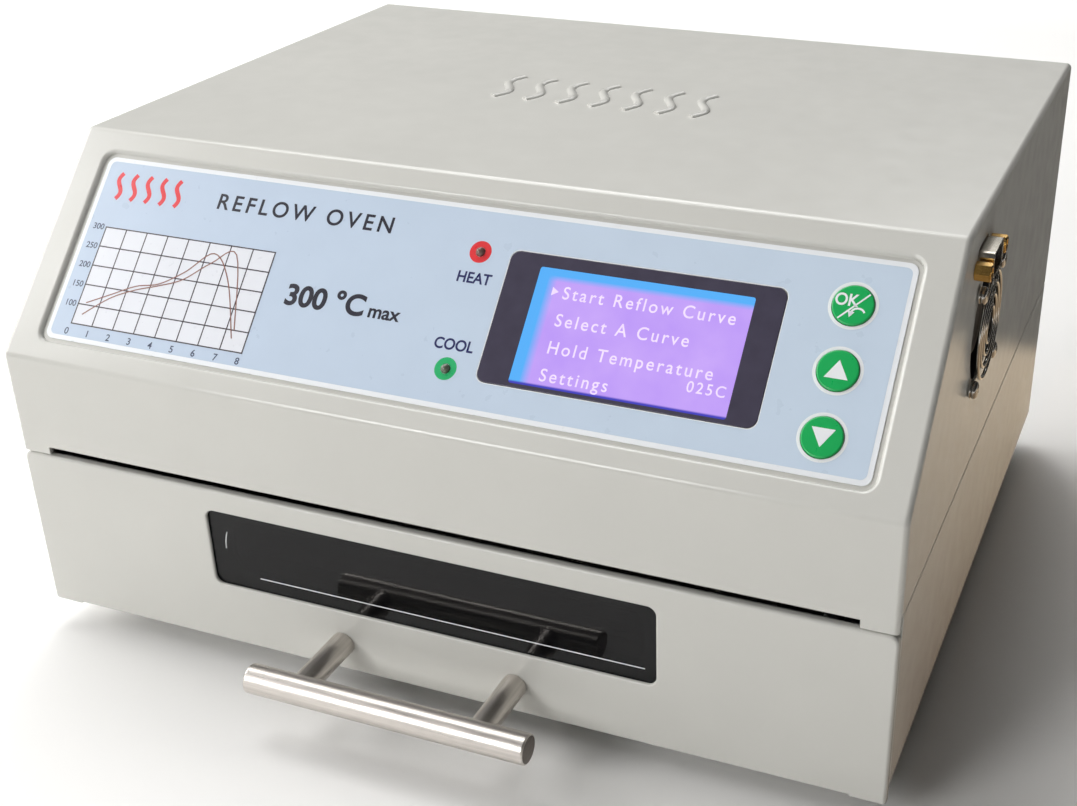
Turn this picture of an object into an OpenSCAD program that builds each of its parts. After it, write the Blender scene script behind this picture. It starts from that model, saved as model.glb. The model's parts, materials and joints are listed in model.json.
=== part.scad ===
// Bench reflow oven: a sheet-steel box with a drawer that carries the circuit
// boards, a heated chamber above it, and the electronics over the chamber.
// Millimetres. X is across the front, Y runs from front to back, Z is up.
// The origin is on the surface that the oven stands on, below the body's middle.

/* [Body] */
// Width across the side walls
body_w = 310; // [306:1:330]
// Depth from the hood lip to the rear edge
body_d = 265; // [262:1:285]
// Height of the top above the bench
body_h = 170; // [168:1:180]
// Thickness of the sheet steel
sheet = 1.2; // [1.0:0.1:1.3]
// Height of the rubber feet
foot_h = 14; // [13:0.5:15]
// Height of the seam between the base and the top cover
seam_z = 76.6; // [76:0.1:78]
// Lower edge of the hood lip
lip_z = 74.4; // [73.5:0.1:75.5]
// Height where the hood lip turns into the tilted face
brow_z = 108.2; // [106:0.2:110]
// Depth that the tilted face runs back to the top
brow_run = 59.5; // [57:0.5:62]
// Outer radius of the bends in the cover
bend_r = 3; // [2:0.5:4]

/* [Drawer] */
// Bottom of the drawer front above the bench
front_low = 10; // [9:0.5:11]
// Top of the drawer front above the bench
front_high = 71; // [70:0.5:72]
// Width of the window in the drawer front
window_w = 162; // [150:1:166]
// Height of the window in the drawer front
window_h = 29; // [26:0.5:30]
// Height of the window's middle above the bench
window_z = 48.2; // [47:0.2:49]
// Width of the drawer's tray
tray_w = 262; // [258:1:262]
// Depth of the drawer's tray
tray_d = 189; // [180:1:192]

/* [Handle] */
// Distance between the two handle posts
handle_pitch = 64; // [64:32:96]
// Length of the handle bar
bar_len = 100; // [90:1:130]
// Diameter of the handle bar
bar_d = 10; // [9:0.5:12]
// Diameter of the handle posts
post_d = 8.5; // [7:0.5:9]
// Distance from the drawer front to the bar's axis
handle_reach = 27.5; // [24:0.5:35]
// Height of the handle above the bench
handle_z = 21; // [20:0.5:24]

/* [Control panel] */
// Width of the printed overlay
overlay_w = 284; // [280:1:286]
// Height of the printed overlay along the tilted face
overlay_h = 67.4; // [66:0.2:68]
// Distance from the top bend down to the overlay
overlay_v = 9.6; // [9:0.1:10]
// Depth of the recess that the overlay lies in
recess = 1.5; // [1.2:0.1:1.8]
// Width of the display's window
lens_w = 89.4; // [86:0.2:91]
// Height of the display's window
lens_h = 43.6; // [42:0.2:46]
// Position of the display across the panel
lens_x = 61.4; // [58:0.2:64]
// Diameter of the key caps
key_d = 12.4; // [12:0.2:14]
// Distance between the keys
key_pitch = 20.1; // [19:0.1:21]
// Position of the keys across the panel
key_x = 125.6; // [124:0.2:127]
// Position of the two lamps across the panel
lamp_x = 6; // [2:0.5:8]

/* [Fans and rear] */
// Size of the cooling fan on the right side
side_fan = 40; // [30, 40]
// Size of the exhaust fan at the rear
rear_fan = 80; // [60, 80]
// Number of quartz heater tubes
tube_count = 4; // [3:1:5]

/* [Hidden] */
$fn = 48;

// Paint and finishes
cream = [0.81, 0.80, 0.76];
bright = [0.80, 0.81, 0.82];
black = [0.13, 0.13, 0.14];
green = [0.10, 0.68, 0.35];
brass = [0.80, 0.61, 0.27];
board_green = [0.10, 0.38, 0.22];
fibre = [0.90, 0.88, 0.80];
ceramic = [0.93, 0.92, 0.88];

// Outer faces of the body
half_w = body_w / 2;
front_y = -body_d / 2;
rear_y = body_d / 2;
bend_y = front_y + brow_run;
tilt = atan2(body_h - brow_z, brow_run);
floor_z = foot_h + sheet;
fit = 0.1;

// Drawer front: a folded pan that closes on the base with a narrow gap
front_depth = 2.8;
wall_y = front_y + front_depth + 0.7;
corner_drop = 0.7;
corner_run = 12;

// Front opening of the chamber, which the drawer slides through
mouth_w = 290;
mouth_z = 83;

// Base tongue that locates the cover
tongue_in = half_w - 2 * sheet - fit;
tongue_top = seam_z + 14;

// Rear panel, set just inside the cover's return
rear_in = rear_y - sheet - fit;
panel_w = body_w - 2 * (2 * sheet + 2 * fit);
return_w = 12;

// Chamber
liner_t = 0.8;
liner_x = mouth_w / 2 + 0.2;
liner_z = 91;
liner_rear = 100;
shelf_z = 101.3;
tube_z = 79;
tube_d = 10;
tube_half = 126;
tube_pitch = 150 / (tube_count - 1);
tube_mid = -15;
probe_x = 20;
probe_y = 30;
probe_z = 70;

// Telescopic rails
rail_z = 42;
rail_len = 205;
rail_y = front_y + 8.5;
rail_t = 1.2;

// Layers of the drawer front, from the face backwards
glass_t = 3;
skin_y = front_y + sheet + glass_t + 0.2;
skin_t = 1;
skin_w = 286;
sight_w = window_w - 11;
sight_h = window_h - 8.6;
tray_y = skin_y + skin_t + fit;
tray_low = 19;
tray_top = 66;
tray_t = 1;
board_t = 8;
rack_z = 40;

// Positions on the tilted face, measured down it from the top bend
overlay_mid = overlay_v + overlay_h / 2;
key_v = [for (i = [0:2]) overlay_v + 15.4 + i * key_pitch];
lamp_v = [25, 64.2];
lens_v = 44.6;
screen_v = 46;
screen_x = 62.2;
floor_n = -recess;
under_n = -recess - sheet;
key_throw = 0.5;

// Right side
side_fan_depth = 10;
side_rise = 1.9;
fan_y = -35.5;
fan_z = 128;
port_y = -50;
port_z = 156;
jack_pitch = 25;

// Rear
rear_fan_depth = 25;
rear_rise = 5.1;
exhaust_x = -62;
exhaust_z = 58;
inlet_x = 92;
inlet_z = 50;
switch_x = 92;
switch_z = 86;
screw_r = 1.5;
big_screw_r = 2;
spindle_r = 1.5;

// --- outline helpers ---

function unit(v) = v / norm(v);
function turned(v, a) = [v.x * cos(a) - v.y * sin(a), v.x * sin(a) + v.y * cos(a)];

// Half the angle of the corner p between its neighbours a and b
function half_angle(a, p, b) = acos(unit(a - p) * unit(b - p)) / 2;

// The corner p moved into the outline by t
function inset(a, p, b, t) = p + unit(unit(a - p) + unit(b - p)) * t / sin(half_angle(a, p, b));

// Arc that rounds the corner p with radius r
function corner(a, p, b, r, steps = 6) =
  let (
    h = half_angle(a, p, b),
    c = inset(a, p, b, r),
    s = p + unit(a - p) * r / tan(h) - c,
    e = p + unit(b - p) * r / tan(h) - c,
    sweep = (180 - 2 * h) * (cross(s, e) > 0 ? 1 : -1)
  )
  [for (i = [0:steps]) c + turned(s, sweep * i / steps)];

// Outline with every corner rounded by r
function rounded(p, r) =
  let (n = len(p))
  [for (i = [0:n - 1]) each corner(p[(i + n - 1) % n], p[i], p[(i + 1) % n], r)];

module round_rect(w, h, r) {
  square([w - 2 * r, h], center = true);
  square([w, h - 2 * r], center = true);
  for (x = [-1, 1], y = [-1, 1])
    translate([x * (w / 2 - r), y * (h / 2 - r)]) circle(r);
}

// Plate with round corners, rising from z = 0
module plate(w, h, t, r) {
  linear_extrude(t) round_rect(w, h, r);
}

// Draws its children on both sides of the middle plane
module both_sides() {
  children();
  mirror([1, 0, 0]) children();
}

// Places children on the tilted face: x across, v down the face, n out of it
module on_face(x, v, n = 0) {
  translate([0, bend_y, body_h]) rotate([tilt, 0, 0]) translate([x, -v, n]) children();
}

// Places children on the right side wall, with their Z pointing outwards
module on_side(y, z, out = 0) {
  translate([half_w + out, y, z]) rotate([90, 0, 90]) children();
}

// Places children on the rear panel, with their Z pointing outwards
module on_rear(x, z, out = 0) {
  translate([x, rear_in + out, z]) rotate([90, 0, 180]) children();
}

// Places children on the drawer front, with their Z pointing outwards
module on_front(x, z, out = 0) {
  translate([x, front_y - out, z]) rotate([90, 0, 0]) children();
}

// Places children with their Z along the row's Y
module along_y(x, y, z) {
  translate([x, y, z]) rotate([-90, 0, 0]) children();
}

// Repeats children on the corners of a square
module corners(pitch) {
  for (x = [-1, 1], y = [-1, 1]) translate([x * pitch / 2, y * pitch / 2, 0]) children();
}

// Pan-head screw, pointing down from z = 0, with a cross slot in its head
module pan_screw(r, length) {
  head_r = 1.9 * r;
  head_h = 1.2 * r;
  difference() {
    cylinder(h = head_h, r1 = head_r, r2 = 0.8 * head_r);
    for (a = [0, 90]) rotate(a)
      translate([-0.9 * r, -0.2 * r, 0.5 * head_h]) cube([1.8 * r, 0.4 * r, head_h]);
  }
  translate([0, 0, -length]) cylinder(h = length, r = r);
}

// --- housing ---

module foot_places() {
  for (x = [-1, 1], y = [-1, 1])
    translate([x * (half_w - 26), y * (rear_y - 28), 0]) children();
}

module base_pan() {
  wall_len = rear_y - wall_y;
  wall_h = seam_z - foot_h;
  tongue_y = wall_y + 2 * sheet;
  tongue_len = rear_in - 2 * sheet - tongue_y;
  joggle = 8;
  color(cream) difference() {
    union() {
      translate([-half_w, wall_y, foot_h]) cube([body_w, wall_len, sheet]);
      both_sides() {
        translate([half_w - sheet, wall_y, foot_h]) cube([sheet, wall_len, wall_h]);
        translate([half_w - return_w, rear_y - sheet, foot_h]) cube([return_w, sheet, wall_h]);
        translate([tongue_in, tongue_y, seam_z - joggle]) {
          cube([half_w - tongue_in, tongue_len, joggle]);
          cube([sheet, tongue_len, tongue_top - seam_z + joggle]);
        }
      }
    }
    foot_places() cylinder(h = 2 * foot_h, r = 2.1);
    rear_screw_places() cylinder(h = 20, r = screw_r + fit, center = true);
  }
}

module front_frame() {
  strip = panel_w / 2 - mouth_w / 2;
  color(cream) both_sides() {
    translate([mouth_w / 2, wall_y, floor_z]) cube([strip, sheet, mouth_z - floor_z]);
    translate([0, wall_y, mouth_z]) cube([panel_w / 2, sheet, brow_z - mouth_z - 4]);
  }
}

// Screw places round the rear panel: in the cover's return and the base's return
module rear_screw_places() {
  for (s = [-1, 1], z = [28, 62, 92, 128])
    translate([s * (half_w - 6), rear_y, z]) rotate([90, 0, 180]) children();
  for (x = [-90, 0, 90]) translate([x, rear_y, body_h - 7]) rotate([90, 0, 180]) children();
}

module rear_panel() {
  height = body_h - 2 * sheet - floor_z - 0.4;
  color(cream) difference() {
    translate([-panel_w / 2, rear_in - sheet, floor_z]) cube([panel_w, sheet, height]);
    on_rear(exhaust_x, exhaust_z, -10) {
      cylinder(h = 20, r = rear_fan / 2 - 2);
      corners(hole_pitch(rear_fan)) cylinder(h = 20, r = big_screw_r + 0.2);
    }
    on_rear(inlet_x, inlet_z, -10) plate(28.2, 32.2, 20, 1);
    inlet_screw_places() cylinder(h = 20, r = screw_r + fit, center = true);
    on_rear(switch_x, switch_z, -10) plate(19.4, 13.2, 20, 0.6);
    for (x = [-120:12:120], z = [126, 142])
      if (abs(x) > 8) on_rear(x, z, -10) plate(3.2, 11, 20, 1.5);
    rear_screw_places() cylinder(h = 20, r = screw_r + fit, center = true);
  }
}

// Cover profile seen from the right, with its bends rounded
function cover_profile(t, low, rear) =
  let (
    lip = [front_y, lip_z],
    brow = [front_y, brow_z],
    top = [bend_y, body_h],
    back = [rear_y + 50, body_h],
    brow_in = inset(lip, brow, top, t),
    top_in = inset(brow, top, back, t)
  )
  concat(
    [[front_y + t, low]],
    corner(lip, brow_in, top_in, bend_r - t),
    corner(brow_in, top_in, back, bend_r - t),
    [[rear, body_h - t], [rear, low]]
  );

module extrude_x(w) {
  rotate([90, 0, 90]) linear_extrude(w, center = true) children();
}

module top_cover() {
  hollow_w = body_w - 2 * sheet;
  side_low = seam_z + 0.5;
  color(cream) difference() {
    union() {
      difference() {
        extrude_x(body_w) polygon(cover_profile(0, lip_z, rear_y));
        extrude_x(hollow_w) polygon(cover_profile(sheet, lip_z - 1, rear_y - sheet));
      }
      on_face(0, overlay_mid, under_n) plate(overlay_w + 10, overlay_h + 10, recess + 0.2, 5);
    }
    // side walls end at the seam; only the lip runs lower
    translate([-body_w, front_y + sheet, lip_z - 1]) cube([2 * body_w, body_d, side_low - lip_z + 1]);
    // opening at the rear, inside the return
    translate([-half_w + return_w, rear_y - 5, 0]) cube([body_w - 2 * return_w, 10, body_h - return_w]);
    // recess and openings of the control panel
    on_face(0, overlay_mid, floor_n) plate(overlay_w + 3, overlay_h + 3, 5, 4);
    on_face(lens_x, lens_v, -10) plate(lens_w - 3, lens_h - 3, 20, 2);
    for (v = key_v) on_face(key_x, v, -10) cylinder(h = 20, d = key_d + 0.5);
    for (v = lamp_v) on_face(lamp_x, v, -10) cylinder(h = 20, r = 1.6);
    // cooling fan and serial port in the right side
    on_side(fan_y, fan_z, -5) {
      cylinder(h = 10, r = side_fan / 2 - 1);
      corners(hole_pitch(side_fan)) cylinder(h = 10, r = screw_r + fit);
    }
    on_side(port_y, port_z, -5) linear_extrude(10) polygon(d_outline(18.6, 10));
    jack_places() cylinder(h = 10, r = 1.7, center = true);
    rear_screw_places() cylinder(h = 20, r = screw_r + fit, center = true);
  }
}

module rubber_feet() {
  color(black) foot_places() difference() {
    cylinder(h = foot_h, r1 = 9, r2 = 10.5);
    translate([0, 0, -1]) cylinder(h = foot_h - 3, r = 5);
    cylinder(h = 2 * foot_h, r = 2.1, center = true);
  }
}

module foot_screws() {
  color(bright) foot_places() translate([0, 0, foot_h - 4]) rotate([180, 0, 0]) pan_screw(big_screw_r, 8);
}

// The panel's screws and the two that hold the mains inlet are the same
module rear_screws() {
  color(bright) {
    rear_screw_places() pan_screw(screw_r, 6);
    inlet_screw_places() pan_screw(screw_r, 6);
  }
}

// --- heated chamber ---

module chamber_liner() {
  liner_y = wall_y + sheet + fit;
  height = liner_z - floor_z;
  color(bright) difference() {
    translate([-liner_x - liner_t, liner_y, floor_z])
      cube([2 * (liner_x + liner_t), liner_rear - liner_y, height]);
    translate([-liner_x, liner_y - 1, floor_z - 1])
      cube([2 * liner_x, liner_rear - liner_t - liner_y + 1, height + 1 - liner_t]);
    for (x = [-30:10:30], z = [-30:10:30])
      if (norm([x, z]) < 34)
        along_y(exhaust_x + x, liner_rear, exhaust_z + z) cylinder(h = 10, r = 3.2, center = true);
    along_y(probe_x, liner_rear, probe_z) cylinder(h = 10, r = 1.7, center = true);
  }
}

module ceiling_insulation() {
  color(fibre) translate([-liner_x, wall_y + 4, liner_z + fit])
    cube([2 * liner_x, liner_rear - wall_y - 6, shelf_z - liner_z - 2 * fit]);
}

module side_insulation() {
  inner = liner_x + liner_t + fit;
  color(fibre) both_sides() translate([inner, wall_y + 4, floor_z + fit])
    cube([tongue_in - fit - inner, liner_rear - wall_y - 6, liner_z - floor_z - 1]);
}

module equipment_shelf() {
  shelf_w = panel_w;
  shelf_y = wall_y + 2 * sheet;
  depth = rear_in - sheet - fit - shelf_y;
  color(bright) difference() {
    union() {
      translate([-shelf_w / 2, shelf_y, shelf_z]) cube([shelf_w, depth, sheet]);
      both_sides() translate([shelf_w / 2 - sheet, shelf_y, shelf_z - 9]) cube([sheet, depth, 9]);
    }
    for (x = [-130, 130], y = [-60, 70]) translate([x, y, shelf_z]) cylinder(h = 5, r = 6, center = true);
    board_places() cylinder(h = 60, r = 1.6, center = true);
  }
}

function tube_y(i) = tube_mid + (i - (tube_count - 1) / 2) * tube_pitch;

module each_tube() {
  for (i = [0:tube_count - 1]) translate([0, tube_y(i), tube_z]) rotate([0, 90, 0]) children();
}

module reflector() {
  trough = 9.2;
  skin = 0.8;
  length = 240;
  color(bright) {
    each_tube() difference() {
      cylinder(h = length, r = trough + skin, center = true);
      cylinder(h = length + 2, r = trough, center = true);
      translate([0, -trough * 2, -length]) cube([trough * 4, trough * 4, 2 * length]);
    }
    for (i = [0:tube_count - 2])
      translate([-length / 2, tube_y(i) + trough + skin / 2, tube_z])
        cube([length, tube_pitch - 2 * trough - skin, skin]);
  }
}

module quartz_tubes() {
  color([0.92, 0.90, 0.86]) each_tube() difference() {
    cylinder(h = 2 * tube_half, d = tube_d, center = true);
    cylinder(h = 2 * tube_half + 2, d = tube_d - 2, center = true);
  }
}

module heater_rods() {
  color([0.45, 0.40, 0.36]) each_tube() {
    cylinder(h = 2 * tube_half - 8, d = 5, center = true);
    cylinder(h = 2 * liner_x - 3, d = 1.6, center = true);
  }
}

module tube_holders() {
  inner = tube_half - 4;
  color(ceramic) each_tube() for (s = [0, 180]) rotate([s, 0, 0]) difference() {
    translate([-9, -8, inner]) cube([18, 16, liner_x - inner - fit]);
    translate([0, 0, inner - 1]) cylinder(h = 5.2, d = tube_d + 0.2);
    translate([0, 0, inner]) cylinder(h = 40, d = 2);
  }
}

module thermocouple() {
  color(bright) along_y(probe_x, probe_y, probe_z) {
    sphere(r = 2);
    cylinder(h = liner_rear - probe_y + 6, r = 1.5);
  }
}

// --- telescopic rails ---

// Channel of a rail member, open towards +X, as tall as h and as deep as d
module channel(h, d, length) {
  translate([0, 0, -h / 2]) {
    cube([rail_t, length, h]);
    cube([d, length, rail_t]);
    translate([0, 0, h - rail_t]) cube([d, length, rail_t]);
  }
}

// Screw hole through a rail's web, at x across and y along the rail
module rail_hole(x, y) {
  translate([x, rail_y + y, rail_z]) rotate([0, 90, 0]) cylinder(h = 5, r = big_screw_r, center = true);
}

module rail_outer(side) {
  color(bright) mirror([side < 0 ? 1 : 0, 0, 0]) difference() {
    translate([liner_x - 0.1, rail_y, rail_z]) mirror([1, 0, 0]) channel(27, 9.5, rail_len);
    for (y = [30, rail_len - 30])
      rail_hole(liner_x, y);
  }
}

module rail_middle(side) {
  color(bright) mirror([side < 0 ? 1 : 0, 0, 0])
    translate([liner_x - 2.2, rail_y, rail_z]) mirror([1, 0, 0]) channel(22, 6.5, rail_len);
}

module rail_inner(side) {
  color(bright) mirror([side < 0 ? 1 : 0, 0, 0]) difference() {
    translate([tray_w / 2 + 0.05, rail_y, rail_z]) channel(15, 8, tray_d - 6);
    for (y = [30, tray_d - 40])
      rail_hole(tray_w / 2, y);
  }
}

module rail_outer_left() rail_outer(-1);
module rail_outer_right() rail_outer(1);
module rail_middle_left() rail_middle(-1);
module rail_middle_right() rail_middle(1);
module rail_inner_left() rail_inner(-1);
module rail_inner_right() rail_inner(1);

// --- drawer ---

module drawer_front() {
  front_h = front_high - front_low;
  mid_z = (front_low + front_high) / 2;
  inner_depth = front_depth - sheet;
  color(cream) difference() {
    union() {
      on_front(0, mid_z, -front_depth) plate(body_w, front_h, front_depth, 3);
      for (s = [-1, 1])
        on_front(s * (half_w - corner_run / 2), front_low - corner_drop + corner_run / 2, -front_depth)
          plate(corner_run, corner_run, front_depth, 1.2);
    }
    on_front(0, mid_z, -front_depth - 1)
      plate(body_w - 2 * sheet, front_h - 2 * sheet, inner_depth + 1, 2);
    on_front(0, window_z, -10) plate(window_w, window_h, 20, 3);
    for (s = [-1, 1]) on_front(s * handle_pitch / 2, handle_z, -10) cylinder(h = 20, r = 2.2);
  }
}

module drawer_window() {
  color([0.16, 0.16, 0.17, 0.7])
    on_front(0, window_z, -sheet - glass_t - 0.1) plate(window_w + 14, window_h + 11, glass_t, 2);
}

module drawer_inner_panel() {
  low = front_low + 5.6;
  high = front_high - sheet - 0.4;
  depth = skin_y + skin_t - front_y - sheet - fit;
  color(bright) difference() {
    on_front(0, (low + high) / 2, -sheet - fit - depth) plate(skin_w, high - low, depth, 2);
    on_front(0, (low + high) / 2, -sheet - fit - depth + skin_t)
      plate(skin_w - 2 * skin_t, high - low - 2 * skin_t, depth, 1);
    on_front(0, window_z, -20) plate(sight_w, sight_h, 30, 7);
    drawer_screw_places() cylinder(h = 20, r = screw_r + fit, center = true);
  }
}

module drawer_screw_places() {
  for (x = [-110, 110], z = [26, 60]) along_y(x, tray_y + tray_t, z) children();
}

module drawer_tray() {
  height = tray_top - tray_low;
  color(bright) difference() {
    translate([-tray_w / 2, tray_y, tray_low]) cube([tray_w, tray_d, height]);
    translate([-tray_w / 2 + tray_t, tray_y + tray_t, tray_low + tray_t])
      cube([tray_w - 2 * tray_t, tray_d - 2 * tray_t, height]);
    on_front(0, window_z, -20) plate(sight_w, sight_h, 30, 7);
    drawer_screw_places() cylinder(h = 20, r = screw_r + fit, center = true);
  }
}

module tray_insulation() {
  gap = tray_t + fit;
  color(fibre) translate([-tray_w / 2 + gap, tray_y + gap + 2, tray_low + gap])
    cube([tray_w - 2 * gap, tray_d - 2 * gap - 2, board_t]);
}

module tray_liner() {
  gap = tray_t + fit;
  skin = 0.6;
  low = tray_low + gap + board_t + fit;
  wall = tray_top - 2 - low;
  color(bright) translate([-tray_w / 2 + gap, tray_y + gap + 2, low]) difference() {
    cube([tray_w - 2 * gap, tray_d - 2 * gap - 2, wall]);
    translate([skin, -1, skin]) cube([tray_w - 2 * gap - 2 * skin, tray_d - 2 * gap - 1 - skin, wall]);
  }
}

// Wire rack that carries the circuit boards, on four short legs
module board_rack() {
  wire = 1.5;
  rack_w = 235;
  rack_d = 172;
  rack_y = tray_y + 8;
  foot_z = tray_low + tray_t + board_t + 0.9;
  rail_x = rack_w / 2 - 12;
  under_z = rack_z - 2 * wire + 0.4;
  wires = 12;
  color(bright) {
    for (i = [0:wires])
      translate([0, rack_y + i * rack_d / wires, rack_z])
        rotate([0, 90, 0]) cylinder(h = rack_w, r = wire, center = true);
    both_sides() {
      along_y(rail_x, rack_y - 3, under_z) cylinder(h = rack_d + 6, r = wire);
      for (y = [10, rack_d - 10])
        translate([rail_x, rack_y + y, foot_z]) cylinder(h = under_z - foot_z, r = wire);
    }
  }
}

module drawer_screws() {
  color(bright) drawer_screw_places() pan_screw(screw_r, 4);
}

// --- handle ---

// Places children with their Z along the bar, from its left end
module on_bar() {
  translate([-bar_len / 2, front_y - handle_reach, handle_z]) rotate([0, 90, 0]) children();
}

module handle_bar() {
  edge = 0.6;
  r = bar_d / 2;
  color(bright) on_bar() rotate_extrude()
    polygon([[0, 0], [r - edge, 0], [r, edge], [r, bar_len - edge], [r - edge, bar_len], [0, bar_len]]);
}

module handle_posts() {
  color(bright) for (s = [-1, 1]) difference() {
    on_front(s * handle_pitch / 2, handle_z) cylinder(h = handle_reach, d = post_d);
    on_bar() cylinder(h = bar_len, d = bar_d);
    on_front(s * handle_pitch / 2, handle_z, -1) cylinder(h = 14, r = big_screw_r + fit);
  }
}

module handle_screws() {
  color(bright) for (s = [-1, 1])
    on_front(s * handle_pitch / 2, handle_z, -sheet) rotate([180, 0, 0]) pan_screw(big_screw_r, 11);
}

// --- control panel ---

module front_overlay() {
  color([0.78, 0.84, 0.92]) difference() {
    on_face(0, overlay_mid, floor_n) plate(overlay_w, overlay_h, 0.4, 3);
    on_face(lens_x, lens_v, -5) plate(lens_w + 0.2, lens_h + 0.2, 10, 3);
    for (v = key_v) on_face(key_x, v, -5) cylinder(h = 10, d = key_d + 0.4);
    for (v = lamp_v) on_face(lamp_x, v, -5) cylinder(h = 10, r = 1.6);
  }
}

module display_lens() {
  color([0.22, 0.20, 0.25]) on_face(lens_x, lens_v, floor_n) plate(lens_w, lens_h, 0.6, 3);
}

module display_frame() {
  frame_w = 80;
  frame_h = 52;
  depth = 8;
  color(black) on_face(screen_x, screen_v, under_n - fit - depth) difference() {
    plate(frame_w, frame_h, depth, 1);
    translate([0, 0, depth - 1]) plate(71, 39, 2, 0.5);
  }
}

module display_board() {
  back_n = under_n - 8.3;
  color(board_green) {
    on_face(screen_x, screen_v, back_n - 1.6) difference() {
      plate(93, 66, 1.6, 1);
      for (x = [-43, 43], y = [-30, 30]) translate([x, y, 0]) cylinder(h = 10, r = 1.4, center = true);
    }
    for (i = [0:4]) on_face(screen_x - 30 + 15 * i, screen_v, back_n - 3.2) plate(9, 9, 1.6, 0.4);
  }
}

// Key cap with a skirt that stops it under the panel
module key_cap(i) {
  skirt = 1.2;
  color(green) on_face(key_x, key_v[i]) {
    translate([0, 0, under_n - 0.05]) cylinder(h = recess + sheet - 0.35, d = key_d);
    translate([0, 0, under_n - 0.05 - skirt]) cylinder(h = skirt, d = key_d + 2);
  }
}

module key_ok() key_cap(0);
module key_up() key_cap(1);
module key_down() key_cap(2);

// Circuit board under the keys, with one push switch for each
module key_board() {
  plunger_n = under_n - 1.25 - key_throw - 0.05;
  board_n = plunger_n - 4.3;
  color(board_green) {
    on_face(key_x, key_v[1], board_n - 1.6) plate(24, 60, 1.6, 1);
    for (v = key_v) {
      on_face(key_x, v, board_n) plate(6, 6, 3.4, 0.5);
      on_face(key_x, v, board_n) cylinder(h = 4.3, r = 1.7);
    }
  }
}

// Lamp with a domed lens, standing through the panel
module lamp(v) {
  on_face(lamp_x, v) {
    translate([0, 0, -8]) cylinder(h = 6.9, r = 1.5);
    translate([0, 0, -1.1]) sphere(r = 1.5);
    translate([0, 0, -8]) cylinder(h = 1.2, r = 2);
  }
}

module heat_lamp() color("red") lamp(lamp_v[0]);
module cool_lamp() color(green) lamp(lamp_v[1]);

// --- fans ---

// Distance between the corner holes of a fan, and the radius of its hub
function hole_pitch(size) = lookup(size, [[30, 24], [40, 32], [60, 50], [80, 71.5]]);
function hub_radius(size) = 2 + 0.22 * size;

// Fan frame with a round duct, corner holes and a motor seat on four arms
module fan_frame(size, depth, hole_r) {
  bore = size / 2 - 1;
  arm = 2.4;
  seat = 1.5;
  difference() {
    plate(size, size, depth, 2.5);
    translate([0, 0, -1]) cylinder(h = depth + 2, r = bore);
    corners(hole_pitch(size)) cylinder(h = 3 * depth, r = hole_r, center = true);
  }
  difference() {
    union() {
      cylinder(h = seat, r = hub_radius(size) + 1);
      for (a = [0:90:270]) rotate(a + 20) translate([0, -arm / 2, 0]) cube([bore + 0.5, arm, seat]);
    }
    translate([0, 0, -1]) cylinder(h = 4, r = spindle_r + 0.05);
  }
}

// Rotor with pitched blades; its spindle turns in the motor seat
module fan_rotor(size, depth, blades = 7) {
  hub_r = hub_radius(size);
  low = 2.2;
  high = depth - 0.8;
  translate([0, 0, low]) cylinder(h = high - low, r = hub_r);
  translate([0, 0, 0.2]) cylinder(h = low, r = spindle_r);
  intersection() {
    translate([0, 0, low]) difference() {
      cylinder(h = high - low, r = size / 2 - 2);
      translate([0, 0, -1]) cylinder(h = high, r = hub_r - 0.5);
    }
    for (i = [0:blades - 1])
      rotate(i * 360 / blades) rotate([42, 0, 0])
        translate([hub_r - 1, -0.5, -depth]) cube([size, 1, 3 * depth]);
  }
}

// Wire finger guard: rings on four bars, each ending in an eye for a screw
module fan_guard(size, wire, rings, screw, rise) {
  r = wire / 2;
  reach = hole_pitch(size) / sqrt(2);
  eye = screw + 0.2 + r;
  // where the bar comes down to the wall, clear of the screw's head
  link = 1.9 * screw + r + 0.3;
  bar_n = rise - 0.7 * wire;
  inner = 0.15 * size;
  step = (0.44 * size - inner) / (rings - 1);
  for (i = [0:rings - 1])
    translate([0, 0, rise]) rotate_extrude() translate([inner + i * step, 0]) circle(r);
  for (a = [45:90:315]) rotate(a) {
    translate([inner, 0, bar_n]) rotate([0, 90, 0]) cylinder(h = reach - link - inner, r = r);
    translate([reach - link, 0, r]) cylinder(h = bar_n - r, r = r);
    for (n = [r, bar_n]) translate([reach - link, 0, n]) sphere(r = r);
    translate([reach - link, 0, r]) rotate([0, 90, 0]) cylinder(h = link - eye, r = r);
    translate([reach, 0, r]) rotate_extrude() translate([eye, 0]) circle(r);
  }
}

module on_side_fan(out) on_side(fan_y, fan_z, out) children();
module on_rear_fan(out) on_rear(exhaust_x, exhaust_z, out) children();

module side_fan_frame() {
  color(black) on_side_fan(-sheet - fit - side_fan_depth) fan_frame(side_fan, side_fan_depth, 1.7);
}

module side_fan_rotor() {
  color(black) on_side_fan(-sheet - fit - side_fan_depth) fan_rotor(side_fan, side_fan_depth);
}

module side_fan_guard() {
  color(bright) on_side_fan(fit) fan_guard(side_fan, 1.2, 4, screw_r, side_rise);
}

module side_fan_screws() {
  color(bright) on_side_fan(1.4) corners(hole_pitch(side_fan)) pan_screw(screw_r, 8);
}

module rear_fan_frame() {
  color(black) on_rear_fan(-sheet - fit - rear_fan_depth) fan_frame(rear_fan, rear_fan_depth, 2.2);
}

module rear_fan_rotor() {
  color(black) on_rear_fan(-sheet - fit - rear_fan_depth) fan_rotor(rear_fan, rear_fan_depth);
}

module rear_fan_guard() {
  color(bright) on_rear_fan(fit) fan_guard(rear_fan, 1.6, 6, big_screw_r, rear_rise);
}

module rear_fan_screws() {
  color(bright) on_rear_fan(1.8) corners(hole_pitch(rear_fan)) pan_screw(big_screw_r, 12);
}

// --- serial port ---

// D-shaped outline, w wide at the top and h high, with round corners
function d_outline(w, h) =
  let (lean = h * tan(10))
  rounded([[-w / 2, h / 2], [-w / 2 + lean, -h / 2], [w / 2 - lean, -h / 2], [w / 2, h / 2]], 1.8);

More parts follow.
